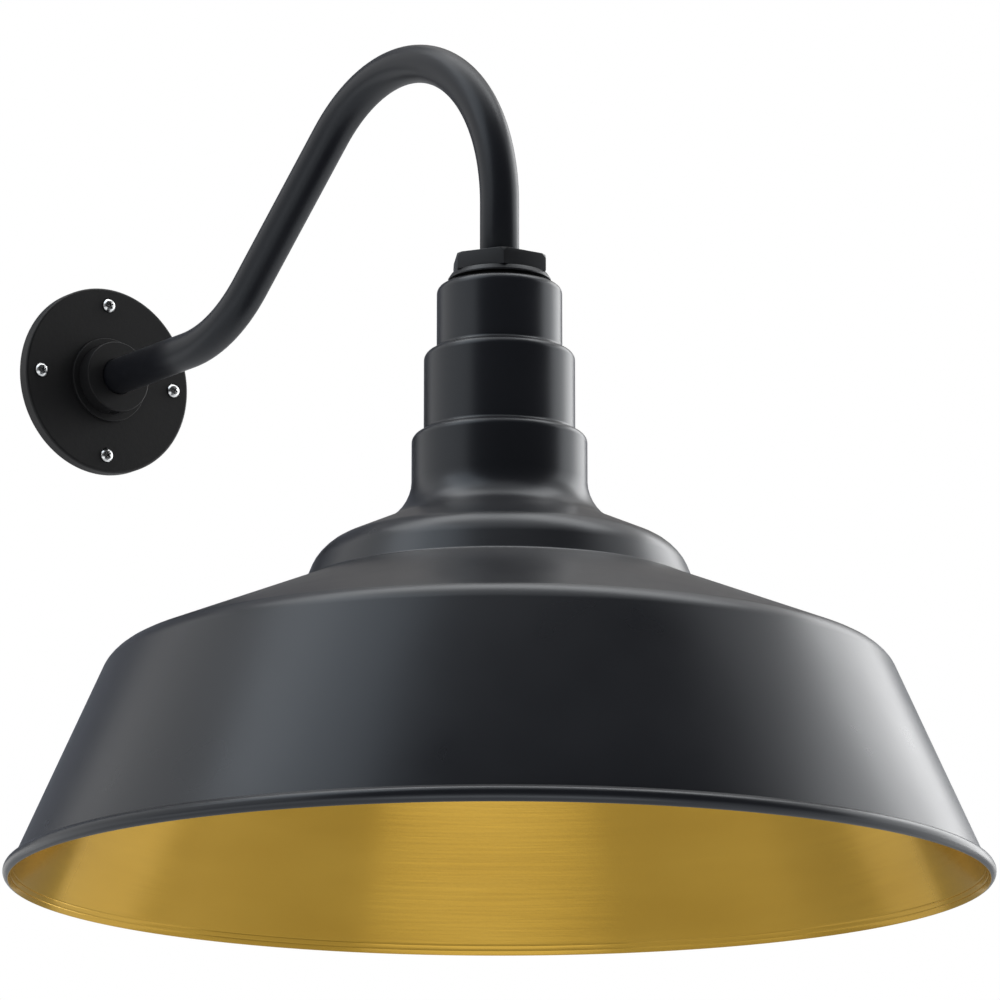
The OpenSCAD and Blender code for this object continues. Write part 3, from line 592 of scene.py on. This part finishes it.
def bare_metal(name, colour, rough, scratch_mm=0.004, stain=0.15):
    tree, shader = shader_of(name, Metallic=1.0)
    grain = use_group(
        tree, powder_grain, Peel_scale=SCRATCH_SCALE, Grain_scale=SCRATCH_SCALE * 4, Grain_share=0.6
    )
    dark = tuple(c * (1 - stain) for c in colour)
    stained = blend_colour(tree, spread(tree, grain["Patches"], 0, 1), dark, colour)
    join(tree, stained, shader.inputs["Base Color"])
    join(tree, spread(tree, grain["Height"], *rough), shader.inputs["Roughness"])
    raise_bumps(tree, shader, grain["Height"], scratch_mm)


bare_metal("stainless_screws", (0.80, 0.81, 0.82), (0.14, 0.24), 0.002)
# recess_shadow is painted shade: the screws' cross recesses get this dark metal in place of the
# stainless.
bare_metal("recess_shadow", (0.10, 0.10, 0.105), (0.35, 0.5))
bare_metal("dark_fixings", (0.20, 0.20, 0.205), (0.20, 0.32))
bare_metal("green_screw", (0.05, 0.30, 0.11), (0.25, 0.4))
bare_metal("zinc_fixings", (0.56, 0.58, 0.60), (0.28, 0.42), 0.006, 0.25)
bare_metal("zinc_cap", (0.55, 0.57, 0.59), (0.30, 0.45), 0.006, 0.25)
bare_metal("shell_brass", (0.78, 0.60, 0.30), (0.18, 0.30))
bare_metal("contact_brass", (0.72, 0.53, 0.25), (0.24, 0.38), 0.004, 0.2)
bare_metal("spring_steel", (0.58, 0.58, 0.60), (0.2, 0.32))
bare_metal("nickel_strap", (0.66, 0.63, 0.58), (0.24, 0.36))
print("finishes so far:", len(finishes))

# %% [markdown]
# Rubber, nylon and the leads' insulation have a moulded skin with a fine matt grain, and the
# porcelain has a glaze over a body that is a little uneven. A coat could be mixed in as a
# second shader, but the Principled one already has a clear coat of its own.

# %% Rubber, plastics and porcelain
PALE_GRAIN = 1.18


def moulded(name, colour, rough, grain_mm, gloss=0.4, **steady):
    tree, shader = shader_of(name, Specular_IOR_Level=gloss, **steady)
    grain = use_group(tree, powder_grain, Peel_scale=520.0, Grain_scale=3200.0, Grain_share=0.7)
    pale = tuple(min(1.0, c * PALE_GRAIN) for c in colour)
    skin = blend_colour(tree, spread(tree, grain["Patches"], 0, 1), colour, pale)
    join(tree, skin, shader.inputs["Base Color"])
    join(tree, spread(tree, grain["Height"], *rough), shader.inputs["Roughness"])
    raise_bumps(tree, shader, grain["Height"], grain_mm)


moulded("gasket_rubber", (0.012, 0.012, 0.012), (0.62, 0.78), 0.02, 0.25)
moulded("white_nylon", (0.66, 0.65, 0.60), (0.38, 0.5), 0.008)
moulded("black_insulation", (0.016, 0.016, 0.017), (0.42, 0.55), 0.008)
moulded("white_insulation", (0.62, 0.61, 0.57), (0.42, 0.55), 0.008)
moulded(
    "porcelain", (0.70, 0.68, 0.62), (0.10, 0.18), 0.006, 0.5,
    Coat_Weight=0.6, Coat_Roughness=0.05,
)
print("finishes:", len(finishes))

# %% [markdown]
# ## Shade
# The real shade is one disc of steel, spun over a former on a lathe, with its edge rolled over
# into a bead. So it is made the same way here: half of its section is drawn as a wire, its
# corners are rounded by a bevel, and the wire is spun round the axis. A cylinder that is scaled
# and inset step by step would also do, but its fillets would be harder to give true radii.

# %% Section of the shade: corners as (radius, height over the rim, fillet), in millimetres
BEAD_R = 4.0
WALL = 1.2
PIPE_HOLE_R = 10.6
LEAST_FILLET = 0.3
OUTER_CORNERS = [
    (248.7, 8.9, 0), (201.7, 115.1, 17), (101.5, 155.4, 2.2), (93.85, 174.1, 24),
    (45.8, 195.3, 24.5), (45.8, 235.5, 5.0), (39.5, 237.5, 4.0), (39.5, 279.9, 5.0),
    (32.85, 281.9, 4.0), (32.85, 316.8, 4.6), (PIPE_HOLE_R, 316.8, 0),
]


def flat(point):
    return Vector((point[0], point[1]))


def set_in(corners, depth):
    """The same run of corners, set off to its left by depth, with the fillets that then fit."""
    result = []
    for i, corner in enumerate(corners):
        here = flat(corner)
        before = (here - flat(corners[i - 1])).normalized() if i else None
        after = (flat(corners[i + 1]) - here).normalized() if i + 1 < len(corners) else before
        before = before or after
        n0, n1 = (Vector((-d.y, d.x)) for d in (before, after))
        moved = here + (n0 + n1) * depth / (1 + n0.dot(n1))
        left_turn = before.x * after.y - before.y * after.x > 0
        fillet = corner[2] and max(LEAST_FILLET, corner[2] + (-depth if left_turn else depth))
        result.append((moved.x, moved.y, fillet))
    return result


INNER_CORNERS = set_in(OUTER_CORNERS, WALL)
print("inner corners, mm:", [(round(r, 1), round(h, 1)) for r, h, _ in INNER_CORNERS])

# %% Wire tools: a run of corners, rounded corners, and a turned body
ARC_STEP = math.radians(9)
# Two fillets on one edge may each take no more than this share of it.
EDGE_SHARE = 0.49


def draw_corners(bm, corners):
    """A wire through the corners, in the plane y = 0, in metres. Returns its vertices."""
    run = [bm.verts.new((r * MM, 0, h * MM)) for r, h, _ in corners]
    for a, b in zip(run, run[1:]):
        bm.edges.new((a, b))
    return run


def round_corners(bm, run, corners):
    """Rounds the inner corners of a wire to their fillets, each an arc of short steps."""
    for vertex, (_, _, fillet) in zip(run, corners):
        if not fillet or len(vertex.link_edges) < 2:
            continue
        a, b = (edge.other_vert(vertex).co - vertex.co for edge in vertex.link_edges)
        half = a.angle(b) / 2
        reach = min(fillet * MM / math.tan(half), EDGE_SHARE * a.length, EDGE_SHARE * b.length)
        bmesh.ops.bevel(
            bm, geom=[vertex], offset=reach, offset_type="OFFSET", affect="VERTICES", profile=0.5,
            segments=max(3, round((math.pi - 2 * half) / ARC_STEP)), material=-1,
            clamp_overlap=True,
        )


def turn_round(bm, steps):
    """Spins all edges once round the Z axis and closes the seam and the poles."""
    bmesh.ops.spin(
        bm, geom=bm.verts[:] + bm.edges[:], cent=(0, 0, 0), axis=(0, 0, 1), dvec=(0, 0, 0),
        angle=math.tau, steps=steps, use_merge=True, use_duplicate=False,
    )
    bmesh.ops.remove_doubles(bm, verts=bm.verts[:], dist=2e-6)
    bmesh.ops.recalc_face_normals(bm, faces=bm.faces[:])


def finish_piece(bm, name, body, replaced, materials, sharp=32):
    """Makes the mesh an object in place of the CAD nodes. It rides on its body, if it has one."""
    for face in bm.faces:
        face.smooth = True
    data = bpy.data.meshes.new(name)
    bm.to_mesh(data)
    bm.free()
    for material in materials:
        data.materials.append(finishes[material])
    data.set_sharp_from_angle(angle=math.radians(sharp))
    piece = bpy.data.objects.new(name, data)
    scene.collection.objects.link(piece)
    if body:
        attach(piece, body)
    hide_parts(*replaced)
    print(name, "has", len(data.polygons), "faces")
    return piece


# %% [markdown]
# The rolled bead is one arc. It starts under the wall, turns outwards and up, and ends where a
# line from the outer crease touches it. The arc comes from spinning one vertex about the bead's
# centre. On the inside the wall runs straight down into the roll, with two shallow grooves
# that the roller leaves.

# %% Shade piece
BEAD_CENTRE = Vector((RIM_R / MM - BEAD_R, BEAD_R))
GROOVE = 0.14
LIP_FILLET = 0.25
BEAD_STEPS, SHADE_STEPS = 28, 256


def touching_angle(point, centre, radius, side):
    """Direction from centre to where a line from point touches the circle."""
    away = flat(point) - centre
    return math.atan2(away.y, away.x) + side * math.acos(radius / away.length)


def on_inner_wall(height, sunk=0.0):
    """A point on the inner wall's line, extended below the crease."""
    (r0, h0, _), (r1, h1, _) = INNER_CORNERS[:2]
    return (r0 + (height - h0) * (r1 - r0) / (h1 - h0) + sunk, height, LIP_FILLET)


# Heights over the rim, and how far the roller pressed the sheet outwards there.
grooves = ((6.2, 0), (5.7, GROOVE), (5.2, 0), (3.6, 0), (3.1, GROOVE), (2.6, 0))
lip = [on_inner_wall(height, sunk) for height, sunk in grooves]
roll_start = (251.2, 0.2, 1.1)
inner_corners = list(reversed(INNER_CORNERS[1:])) + lip + [roll_start]

bm = bmesh.new()
outer_run = draw_corners(bm, OUTER_CORNERS)
inner_run = draw_corners(bm, inner_corners)
bm.edges.new((outer_run[-1], inner_run[0]))
away = flat(roll_start) - BEAD_CENTRE
arc_start = math.atan2(away.y, away.x)
arc_end = touching_angle(OUTER_CORNERS[0], BEAD_CENTRE, BEAD_R, -1)
spun = bmesh.ops.spin(
    bm, geom=[inner_run[-1]], cent=(BEAD_CENTRE.x * MM, 0, BEAD_CENTRE.y * MM), axis=(0, -1, 0),
    dvec=(0, 0, 0), angle=arc_end - arc_start, steps=BEAD_STEPS, use_merge=False,
    use_duplicate=False,
)
last = [item for item in spun["geom_last"] if isinstance(item, bmesh.types.BMVert)][0]
bm.edges.new((last, outer_run[0]))
round_corners(bm, outer_run, OUTER_CORNERS)
round_corners(bm, inner_run, inner_corners)
turn_round(bm, SHADE_STEPS)
print("bead arc, degrees:", round(math.degrees(arc_end - arc_start), 1))

# %% Black outside and gold inside, parted at the bottom of the bead
for face in bm.faces:
    middle = face.calc_center_median()
    outwards = face.normal.dot(Vector((middle.x, middle.y, 0)).normalized())
    on_bead = middle.z < 2 * BEAD_R * MM
    black = outwards > 0 if on_bead else outwards + face.normal.z > 0
    face.material_index = 0 if black else 1
bmesh.ops.translate(bm, verts=bm.verts, vec=(AXIS.x, AXIS.y, RIM_Z))
finish_piece(
    bm, "spun_shade", "shade", ["shade_skirt", "shade_dome", "shade_neck"],
    ["shade_coat", "gold_lining"],
)

# %% [markdown]
# ## Pipe
# The arm is a steel pipe bent twice on a bender: it leaves the wall level, rises, and comes down
# over the shade. A curve with a round bevel would draw it in one step, but then its bends would
# only be near to arcs. So one ring of the pipe is pushed along instead, straight and round by
# turns, as the bender's roller does. Its sizes are in metres, like those of the CAD box.

# %% Pipe piece
PIPE_R = 0.0103
PIPE_WALL = 0.0023
BEND_R = 0.098
PIPE_START_Y, STUB_END_Y = -0.005, -0.0946
RISE = math.radians(40.2)
PIPE_SEGMENTS = 56
BEND_STEP = math.radians(2.6)
arm_low, arm_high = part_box("gooseneck_arm")
UPRIGHT_TO_Y = Matrix.Rotation(math.pi / 2, 3, "X")


def push_ring(bm, ring, way):
    """Extrudes a ring of edges and moves its copy along way. Returns the new ring."""
    made = bmesh.ops.extrude_edge_only(bm, edges=ring)["geom"]
    bmesh.ops.translate(bm, verts=[v for v in made if isinstance(v, bmesh.types.BMVert)], vec=way)
    return [e for e in made if isinstance(e, bmesh.types.BMEdge)]


def bend_ring(bm, ring, centre, angle):
    """Spins a ring of edges about an axis along X. Returns the last ring."""
    verts = list(dict.fromkeys(v for e in ring for v in e.verts))
    made = bmesh.ops.spin(
        bm, geom=ring + verts, cent=centre, axis=(1, 0, 0), dvec=(0, 0, 0), angle=angle,
        steps=round(abs(angle) / BEND_STEP), use_merge=False, use_duplicate=False,
    )["geom_last"]
    return [e for e in made if isinstance(e, bmesh.types.BMEdge)]


def end_edges(bm, ring):
    """Of the edges a spin returns, only those of the open end."""
    return [e for e in ring if len(e.link_faces) == 1]


bm = bmesh.new()
bmesh.ops.create_circle(bm, cap_ends=False, radius=PIPE_R, segments=PIPE_SEGMENTS)
bmesh.ops.rotate(bm, verts=bm.verts, cent=(0, 0, 0), matrix=UPRIGHT_TO_Y)
bmesh.ops.translate(bm, verts=bm.verts, vec=(0, PIPE_START_Y, 0))
ring = push_ring(bm, bm.edges[:], (0, STUB_END_Y - PIPE_START_Y, 0))
rise_centre = Vector((0, STUB_END_Y, BEND_R))
ring = end_edges(bm, bend_ring(bm, end_edges(bm, ring), rise_centre, -RISE))
climb = Vector((0, -math.cos(RISE), math.sin(RISE)))
top_of_rise = rise_centre + BEND_R * Vector((0, -math.sin(RISE), -math.cos(RISE)))
drop_centre_y = AXIS.y + BEND_R
climb_length = (top_of_rise.y - (drop_centre_y + BEND_R * math.sin(RISE))) / math.cos(RISE)
ring = end_edges(bm, push_ring(bm, ring, climb * climb_length))
top_of_climb = top_of_rise + climb * climb_length
drop_centre = top_of_climb - BEND_R * Vector((0, math.sin(RISE), math.cos(RISE)))
ring = end_edges(bm, bend_ring(bm, ring, drop_centre, RISE + math.pi / 2))
push_ring(bm, ring, (0, 0, arm_low.z - drop_centre.z))
bmesh.ops.remove_doubles(bm, verts=bm.verts[:], dist=1e-6)
bmesh.ops.recalc_face_normals(bm, faces=bm.faces[:])
pipe = finish_piece(bm, "bent_pipe", "arm", ["gooseneck_arm"], ["black_coat"])
wall = pipe.modifiers.new("wall", "SOLIDIFY")
wall.thickness = PIPE_WALL
wall.offset = -1
crown_z = drop_centre.z + BEND_R + PIPE_R
print("climb, mm:", round(climb_length / MM, 1))
print("crown z, mm:", round(crown_z / MM, 1), "in the CAD:", round(arm_high.z / MM, 1))

# %% [markdown]
# ## Nut, washer and ring on the shade's neck
# A nut on the pipe presses a bevelled washer and a rubber ring on the neck. The washer and the
# ring are turned from a closed section. The nut could be a six-sided prism with a bevel, but
# a real one is chamfered round on a lathe, which bows the top edge of each flat. So it starts as
# a turned blank, six cuts take its flats, and each cut is closed again.

# %% Turned pieces round the pipe
RING_STEPS = 96


def closed_ring(bm, corners):
    """A closed section, rounded at the corners that have a fillet, turned round the axis."""
    run = draw_corners(bm, corners)
    bm.edges.new((run[-1], run[0]))
    round_corners(bm, run, corners)
    turn_round(bm, RING_STEPS)
    bmesh.ops.translate(bm, verts=bm.verts, vec=(AXIS.x, AXIS.y, 0))


def heights(node):
    low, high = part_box(node)
    return low.z / MM, high.z / MM


BORE_R = 10.4
WASHER_R, WASHER_EDGE, WASHER_BEVEL = 27.0, 0.8, 1.6
RING_R = 23.5
foot, top = heights("bevelled_washer")
bm = bmesh.new()
closed_ring(bm, [
    (BORE_R, foot, 0), (WASHER_R, foot, 0.25), (WASHER_R, foot + WASHER_EDGE, 0.25),
    (WASHER_R - WASHER_BEVEL, top, 0.4), (BORE_R, top, 0),
])
finish_piece(bm, "turned_washer", "arm", ["bevelled_washer"], ["black_fittings"])
foot, top = heights("neck_gasket")
bm = bmesh.new()
closed_ring(bm, [(BORE_R, foot, 0), (RING_R, foot, 0.6), (RING_R, top, 0.6), (BORE_R, top, 0)])
finish_piece(bm, "rubber_ring", "arm", ["neck_gasket"], ["gasket_rubber"])

# %% Hexagon nut
NUT_FLAT = 23.2
NUT_CORNER = NUT_FLAT / math.cos(math.pi / 6)
NUT_TOP_R = 25.6
BORE_CHAMFER = 0.7
NUT_EDGE = 0.35
CORNER_ANGLE, OUTSIDE_R = 0.5, 0.02
foot, top = heights("hex_nut")
bm = bmesh.new()
closed_ring(bm, [
    (BORE_R, foot, 0), (NUT_CORNER, foot, 0), (NUT_CORNER, top - 2 * (NUT_CORNER - NUT_TOP_R), 0),
    (NUT_TOP_R, top, 0), (BORE_R + BORE_CHAMFER, top, 0), (BORE_R, top - BORE_CHAMFER, 0),
])
for flat_turn in range(6):
    way = Vector((math.sin(flat_turn * math.pi / 3), math.cos(flat_turn * math.pi / 3), 0))
    bmesh.ops.bisect_plane(
        bm, geom=bm.verts[:] + bm.edges[:] + bm.faces[:], dist=1e-7,
        plane_co=AXIS + way * NUT_FLAT * MM, plane_no=way, clear_outer=True,
    )
    bmesh.ops.edgeloop_fill(bm, edges=[e for e in bm.edges if e.is_boundary])
# The top keeps two cuts from the bore to its edge. Sorted edges make them the same each run.
slant = Vector((0.31, 0.57, 0.76))
edges = sorted(bm.edges, key=lambda e: (e.verts[0].co + e.verts[1].co).dot(slant))
verts = sorted(bm.verts, key=lambda v: v.co.dot(slant))
bmesh.ops.dissolve_limit(bm, angle_limit=0.002, verts=verts, edges=edges)
corners = [
    e for e in bm.edges if len(e.link_faces) == 2 and e.calc_face_angle() > CORNER_ANGLE
    and all((v.co - AXIS).xy.length > OUTSIDE_R for v in e.verts)
]
bmesh.ops.bevel(
    bm, geom=corners, offset=NUT_EDGE * MM, offset_type="OFFSET", segments=3, profile=0.5,
    affect="EDGES", material=-1, clamp_overlap=True,
)
bmesh.ops.recalc_face_normals(bm, faces=bm.faces[:])
finish_piece(bm, "hexagon_nut", "arm", ["hex_nut"], ["black_fittings"])

# %% [markdown]
# ## Wall screws
# Four pan-head screws hold the plate. A head is turned and domed. Its cross recess is struck
# with a cross-shaped punch, so the same is done here: a tapered punch is taken away from the
# head with a Boolean. The shank gets a real thread: one wavy line is spun once round and climbs
# by one pitch meanwhile. A bump in the finish would be quicker, but it leaves the outline bare.

# %% Thread tool


def turn_thread(bm, section, pitch, start, rounds, steps):
    """A thread from z = start up. section is one pitch of it, as (share of the pitch, radius)."""
    draw_corners(bm, [
        (r, start + (turn - 1 + share) * pitch, 0)
        for turn in range(rounds + 2) for share, r in section
    ])
    bmesh.ops.spin(
        bm, geom=bm.verts[:] + bm.edges[:], cent=(0, 0, 0), axis=(0, 0, 1),
        dvec=(0, 0, pitch * MM / steps), angle=math.tau, steps=steps, use_merge=False,
        use_duplicate=False,
    )
    bmesh.ops.remove_doubles(bm, verts=bm.verts[:], dist=1e-6)
    for height, up in ((start, -1), (start + rounds * pitch, 1)):
        bmesh.ops.bisect_plane(
            bm, geom=bm.verts[:] + bm.edges[:] + bm.faces[:], dist=1e-8,
            plane_co=(0, 0, height * MM), plane_no=(0, 0, up), clear_outer=True,
        )


def cut_away(body_bm, punch_bm, name):
    """The body with the punch's shape taken away, as a new bmesh."""
    made = []
    for label, part in (("body", body_bm), ("punch", punch_bm)):
        data = bpy.data.meshes.new(name + "_" + label)
        part.to_mesh(data)
        part.free()
        made.append(bpy.data.objects.new(name + "_" + label, data))
        scene.collection.objects.link(made[-1])
    body, punch = made
    cut = body.modifiers.new("cut", "BOOLEAN")
    cut.operation, cut.solver, cut.object = "DIFFERENCE", "EXACT", punch
    cut_body = body.evaluated_get(bpy.context.evaluated_depsgraph_get())
    result = bmesh.new()
    result.from_mesh(bpy.data.meshes.new_from_object(cut_body))
    for thing in made:
        bpy.data.objects.remove(thing)
    return result


# %% One screw
HEAD_R, HEAD_H, SCREW_R, SCREW_LEN, SEAT_Y = 4.1, 2.7, 2.1, 19.0, -6.9
HEAD_EDGE = 1.0
CORE_R = SCREW_R - 0.4
THREAD_START = -SCREW_LEN + 0.6
THREAD_PITCH, THREAD_ROUNDS, THREAD_STEPS = 0.8, 14, 20
UNDER_THREAD, PLAIN_R = CORE_R - 0.05, SCREW_R - 0.3
PUNCH_ARM, PUNCH_REACH, PUNCH_DEPTH, PUNCH_TAPER = 1.15, 1.9, 3.0, 0.45
RECESS_R, RECESS_SLOPE = 2.6, 0.6
TURN_STEPS = 48
screw_section = [(0.0, CORE_R), (0.25, CORE_R), (0.5, SCREW_R), (0.62, SCREW_R), (0.87, CORE_R)]

body_corners = [
    (0, -SCREW_LEN, 0), (CORE_R - 0.4, -SCREW_LEN, 0), (UNDER_THREAD, THREAD_START, 0),
    (UNDER_THREAD, SEAT_Y, 0), (PLAIN_R, SEAT_Y, 0), (PLAIN_R, 0, 0), (HEAD_R, 0, 0.15),
    (HEAD_R, HEAD_EDGE, 0.9), (HEAD_R - 1.3, HEAD_H - 0.25, 1.4), (0, HEAD_H, 0),
]
body = bmesh.new()
round_corners(body, draw_corners(body, body_corners), body_corners)
turn_round(body, TURN_STEPS)
punch = bmesh.new()
bmesh.ops.create_cube(punch, size=1)
punch_size = (PUNCH_ARM * MM, PUNCH_ARM * MM, PUNCH_DEPTH * MM)
bmesh.ops.scale(punch, verts=punch.verts, vec=punch_size)
punch.normal_update()
sides = [face for face in punch.faces if abs(face.normal.z) < 0.5]
for arm in bmesh.ops.extrude_discrete_faces(punch, faces=sides)["faces"]:
    bmesh.ops.translate(punch, verts=arm.verts, vec=arm.normal * PUNCH_REACH * MM)
tip = [v for v in punch.verts if v.co.z < 0]
bmesh.ops.scale(punch, verts=tip, vec=(PUNCH_TAPER, PUNCH_TAPER, 1))
bmesh.ops.translate(punch, verts=punch.verts, vec=(0, 0, (HEAD_H + 0.05) * MM))
bmesh.ops.recalc_face_normals(punch, faces=punch.faces[:])
screw = cut_away(body, punch, "screw")
# The faces inside the cross recess get the dark finish, as painted shade.
for face in screw.faces:
    middle = face.calc_center_median()
    in_recess = middle.z > HEAD_EDGE * MM and middle.xy.length < RECESS_R * MM
    face.material_index = int(in_recess and face.normal.z < RECESS_SLOPE)
thread = bmesh.new()
turn_thread(thread, screw_section, THREAD_PITCH, THREAD_START, THREAD_ROUNDS, THREAD_STEPS)
thread_data = bpy.data.meshes.new("thread")
thread.to_mesh(thread_data)
thread.free()
screw.from_mesh(thread_data)
print("one screw has", len(screw.faces), "faces")

# %% Four screws in their holes
CIRCLE_R = 44.45
one = bpy.data.meshes.new("one_screw")
screw.to_mesh(one)
screw.free()
bm = bmesh.new()
for place, cross_turn in enumerate((20, 63, 38, 12)):
    known = set(bm.verts)
    bm.from_mesh(one)
    fresh = [v for v in bm.verts if v not in known]
    turn = place * math.pi / 2
    cross = Matrix.Rotation(math.radians(cross_turn), 3, "Z")
    hole = (CIRCLE_R * MM * math.sin(turn), SEAT_Y * MM, CIRCLE_R * MM * math.cos(turn))
    bmesh.ops.rotate(bm, verts=fresh, cent=(0, 0, 0), matrix=cross)
    bmesh.ops.rotate(bm, verts=fresh, cent=(0, 0, 0), matrix=UPRIGHT_TO_Y)
    bmesh.ops.translate(bm, verts=fresh, vec=hole)
finish_piece(
    bm, "wall_screws", "wall_side", ["plate_screws"],
    ["stainless_screws", "recess_shadow"],
)

# %% [markdown]
# ## Screw shell
# The lamp screws into a thin brass shell inside the porcelain. Its thread is rolled, so it is a
# soft wave and not a cut edge, and both sides of the sheet show it. The CAD model only has a
# plain sleeve there, at the thread's outer radius. A bump would show on one side only, so the
# thread tool makes the wave, and a Solidify modifier gives the sheet its thickness.

# %% Rolled shell
shell_low, shell_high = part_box("screw_shell")
SHELL_R = (shell_high.x - shell_low.x) / 2 / MM
SHELL_T = 0.35
LAMP_PITCH = 3.63
WAVE, WAVE_POINTS = 0.42, 8
PLAIN_FOOT, PLAIN_ENDS, UNDER_TOP = 0.6, 2.4, 0.2
EYE_R, SHEET_SHARE = 4.2, 0.8
WAVE_R = SHELL_R - SHELL_T - WAVE
wave_section = [
    (n / WAVE_POINTS, WAVE_R + WAVE * math.cos(n * math.tau / WAVE_POINTS))
    for n in range(WAVE_POINTS)
]
shell_foot, shell_top = shell_low.z / MM, shell_high.z / MM
rounds = int((shell_top - shell_foot - PLAIN_ENDS) / LAMP_PITCH)
bm = bmesh.new()
turn_thread(bm, wave_section, LAMP_PITCH, shell_foot + PLAIN_FOOT, rounds, TURN_STEPS)
bmesh.ops.recalc_face_normals(bm, faces=bm.faces[:])
cap_corners = [
    (WAVE_R, shell_foot + PLAIN_FOOT + rounds * LAMP_PITCH, 0),
    (WAVE_R, shell_top - UNDER_TOP, 0.8), (EYE_R, shell_top - UNDER_TOP, 0),
]
cap = bmesh.new()
round_corners(cap, draw_corners(cap, cap_corners), cap_corners)
turn_round(cap, TURN_STEPS)
cap_data = bpy.data.meshes.new("shell_cap")
cap.to_mesh(cap_data)
cap.free()
bm.from_mesh(cap_data)
bmesh.ops.translate(bm, verts=bm.verts, vec=(AXIS.x, AXIS.y, 0))
bmesh.ops.recalc_face_normals(bm, faces=bm.faces[:])
shell = finish_piece(bm, "rolled_shell", "arm", ["screw_shell"], ["shell_brass"], 50)
sheet = shell.modifiers.new("sheet", "SOLIDIFY")
sheet.thickness = SHELL_T * MM * SHEET_SHARE
sheet.offset = 0
print("shell radius, mm:", round(SHELL_R, 2), "rounds:", rounds)

# %% [markdown]
# ## Contact spring
# A lamp pushes the centre contact up, and the coil behind it gives way. A curve with a bevel
# would need its own list of points, so the coil is wound as on a winding machine: a ring of the
# wire's section is spun round the axis and climbs, slowly over the closed end turns and fast
# between them. Its lower end sits on the contact and its upper end against the strap. Here the
# piece rides on no body, and keeps the length it is wound to.

# %% Wound spring
spring_low, spring_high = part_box("contact_spring")
WIRE_R, WIRE_SEGMENTS = 0.35, 10
COIL_TURNS, END_TURNS, COIL_STEPS = 7, 0.8, 28
coil_r = (spring_high.x - spring_low.x) / 2 / MM - WIRE_R
coil_foot, coil_top = spring_low.z / MM + WIRE_R, spring_high.z / MM - WIRE_R


def wind(bm, ring, turns, climb_mm):
    """Spins a ring of edges round the Z axis and up. Returns the last ring."""
    verts = list(dict.fromkeys(v for e in ring for v in e.verts))
    steps = round(turns * COIL_STEPS)
    made = bmesh.ops.spin(
        bm, geom=ring + verts, cent=(0, 0, 0), axis=(0, 0, 1),
        dvec=(0, 0, climb_mm * MM / steps), angle=turns * math.tau, steps=steps,
        use_merge=False, use_duplicate=False,
    )["geom_last"]
    return end_edges(bm, [e for e in made if isinstance(e, bmesh.types.BMEdge)])


bm = bmesh.new()
bmesh.ops.create_circle(bm, cap_ends=False, radius=WIRE_R * MM, segments=WIRE_SEGMENTS)
bmesh.ops.rotate(bm, verts=bm.verts, cent=(0, 0, 0), matrix=UPRIGHT_TO_Y)
bmesh.ops.translate(bm, verts=bm.verts, vec=(coil_r * MM, 0, coil_foot * MM))
ring = wind(bm, bm.edges[:], END_TURNS, 2 * WIRE_R)
ring = wind(bm, ring, COIL_TURNS - 2 * END_TURNS, coil_top - coil_foot - 4 * WIRE_R)
wind(bm, ring, END_TURNS, 2 * WIRE_R)
bmesh.ops.remove_doubles(bm, verts=bm.verts[:], dist=1e-7)
bmesh.ops.holes_fill(bm, edges=[e for e in bm.edges if e.is_boundary], sides=0)
bmesh.ops.translate(bm, verts=bm.verts, vec=(AXIS.x, AXIS.y, 0))
bmesh.ops.recalc_face_normals(bm, faces=bm.faces[:])
coil = finish_piece(bm, "wound_spring", None, ["contact_spring"], ["spring_steel"])
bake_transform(coil)
print("spring, mm:", round(coil_foot - WIRE_R, 2), "to", round(coil_top + WIRE_R, 2))

# %% [markdown]
# ## CAD nodes that keep their shape
# The other nodes are already right, so each only gets the finish of its slot in the record.
# A list of nodes and finishes here would do as well, but it could come to differ from the
# record. The slot of the shade's steel has two finishes, and its hidden nodes get the coat.

# %% Finishes for the CAD nodes
slot_of = {part["node"]: part["material_slot"] for part in frame["record"]["subparts"]}
for name, node in frame["nodes"].items():
    node.data.materials.clear()
    node.data.materials.append(finishes.get(slot_of[name], finishes["shade_coat"]))
print("dressed:", len(frame["nodes"]), "nodes")
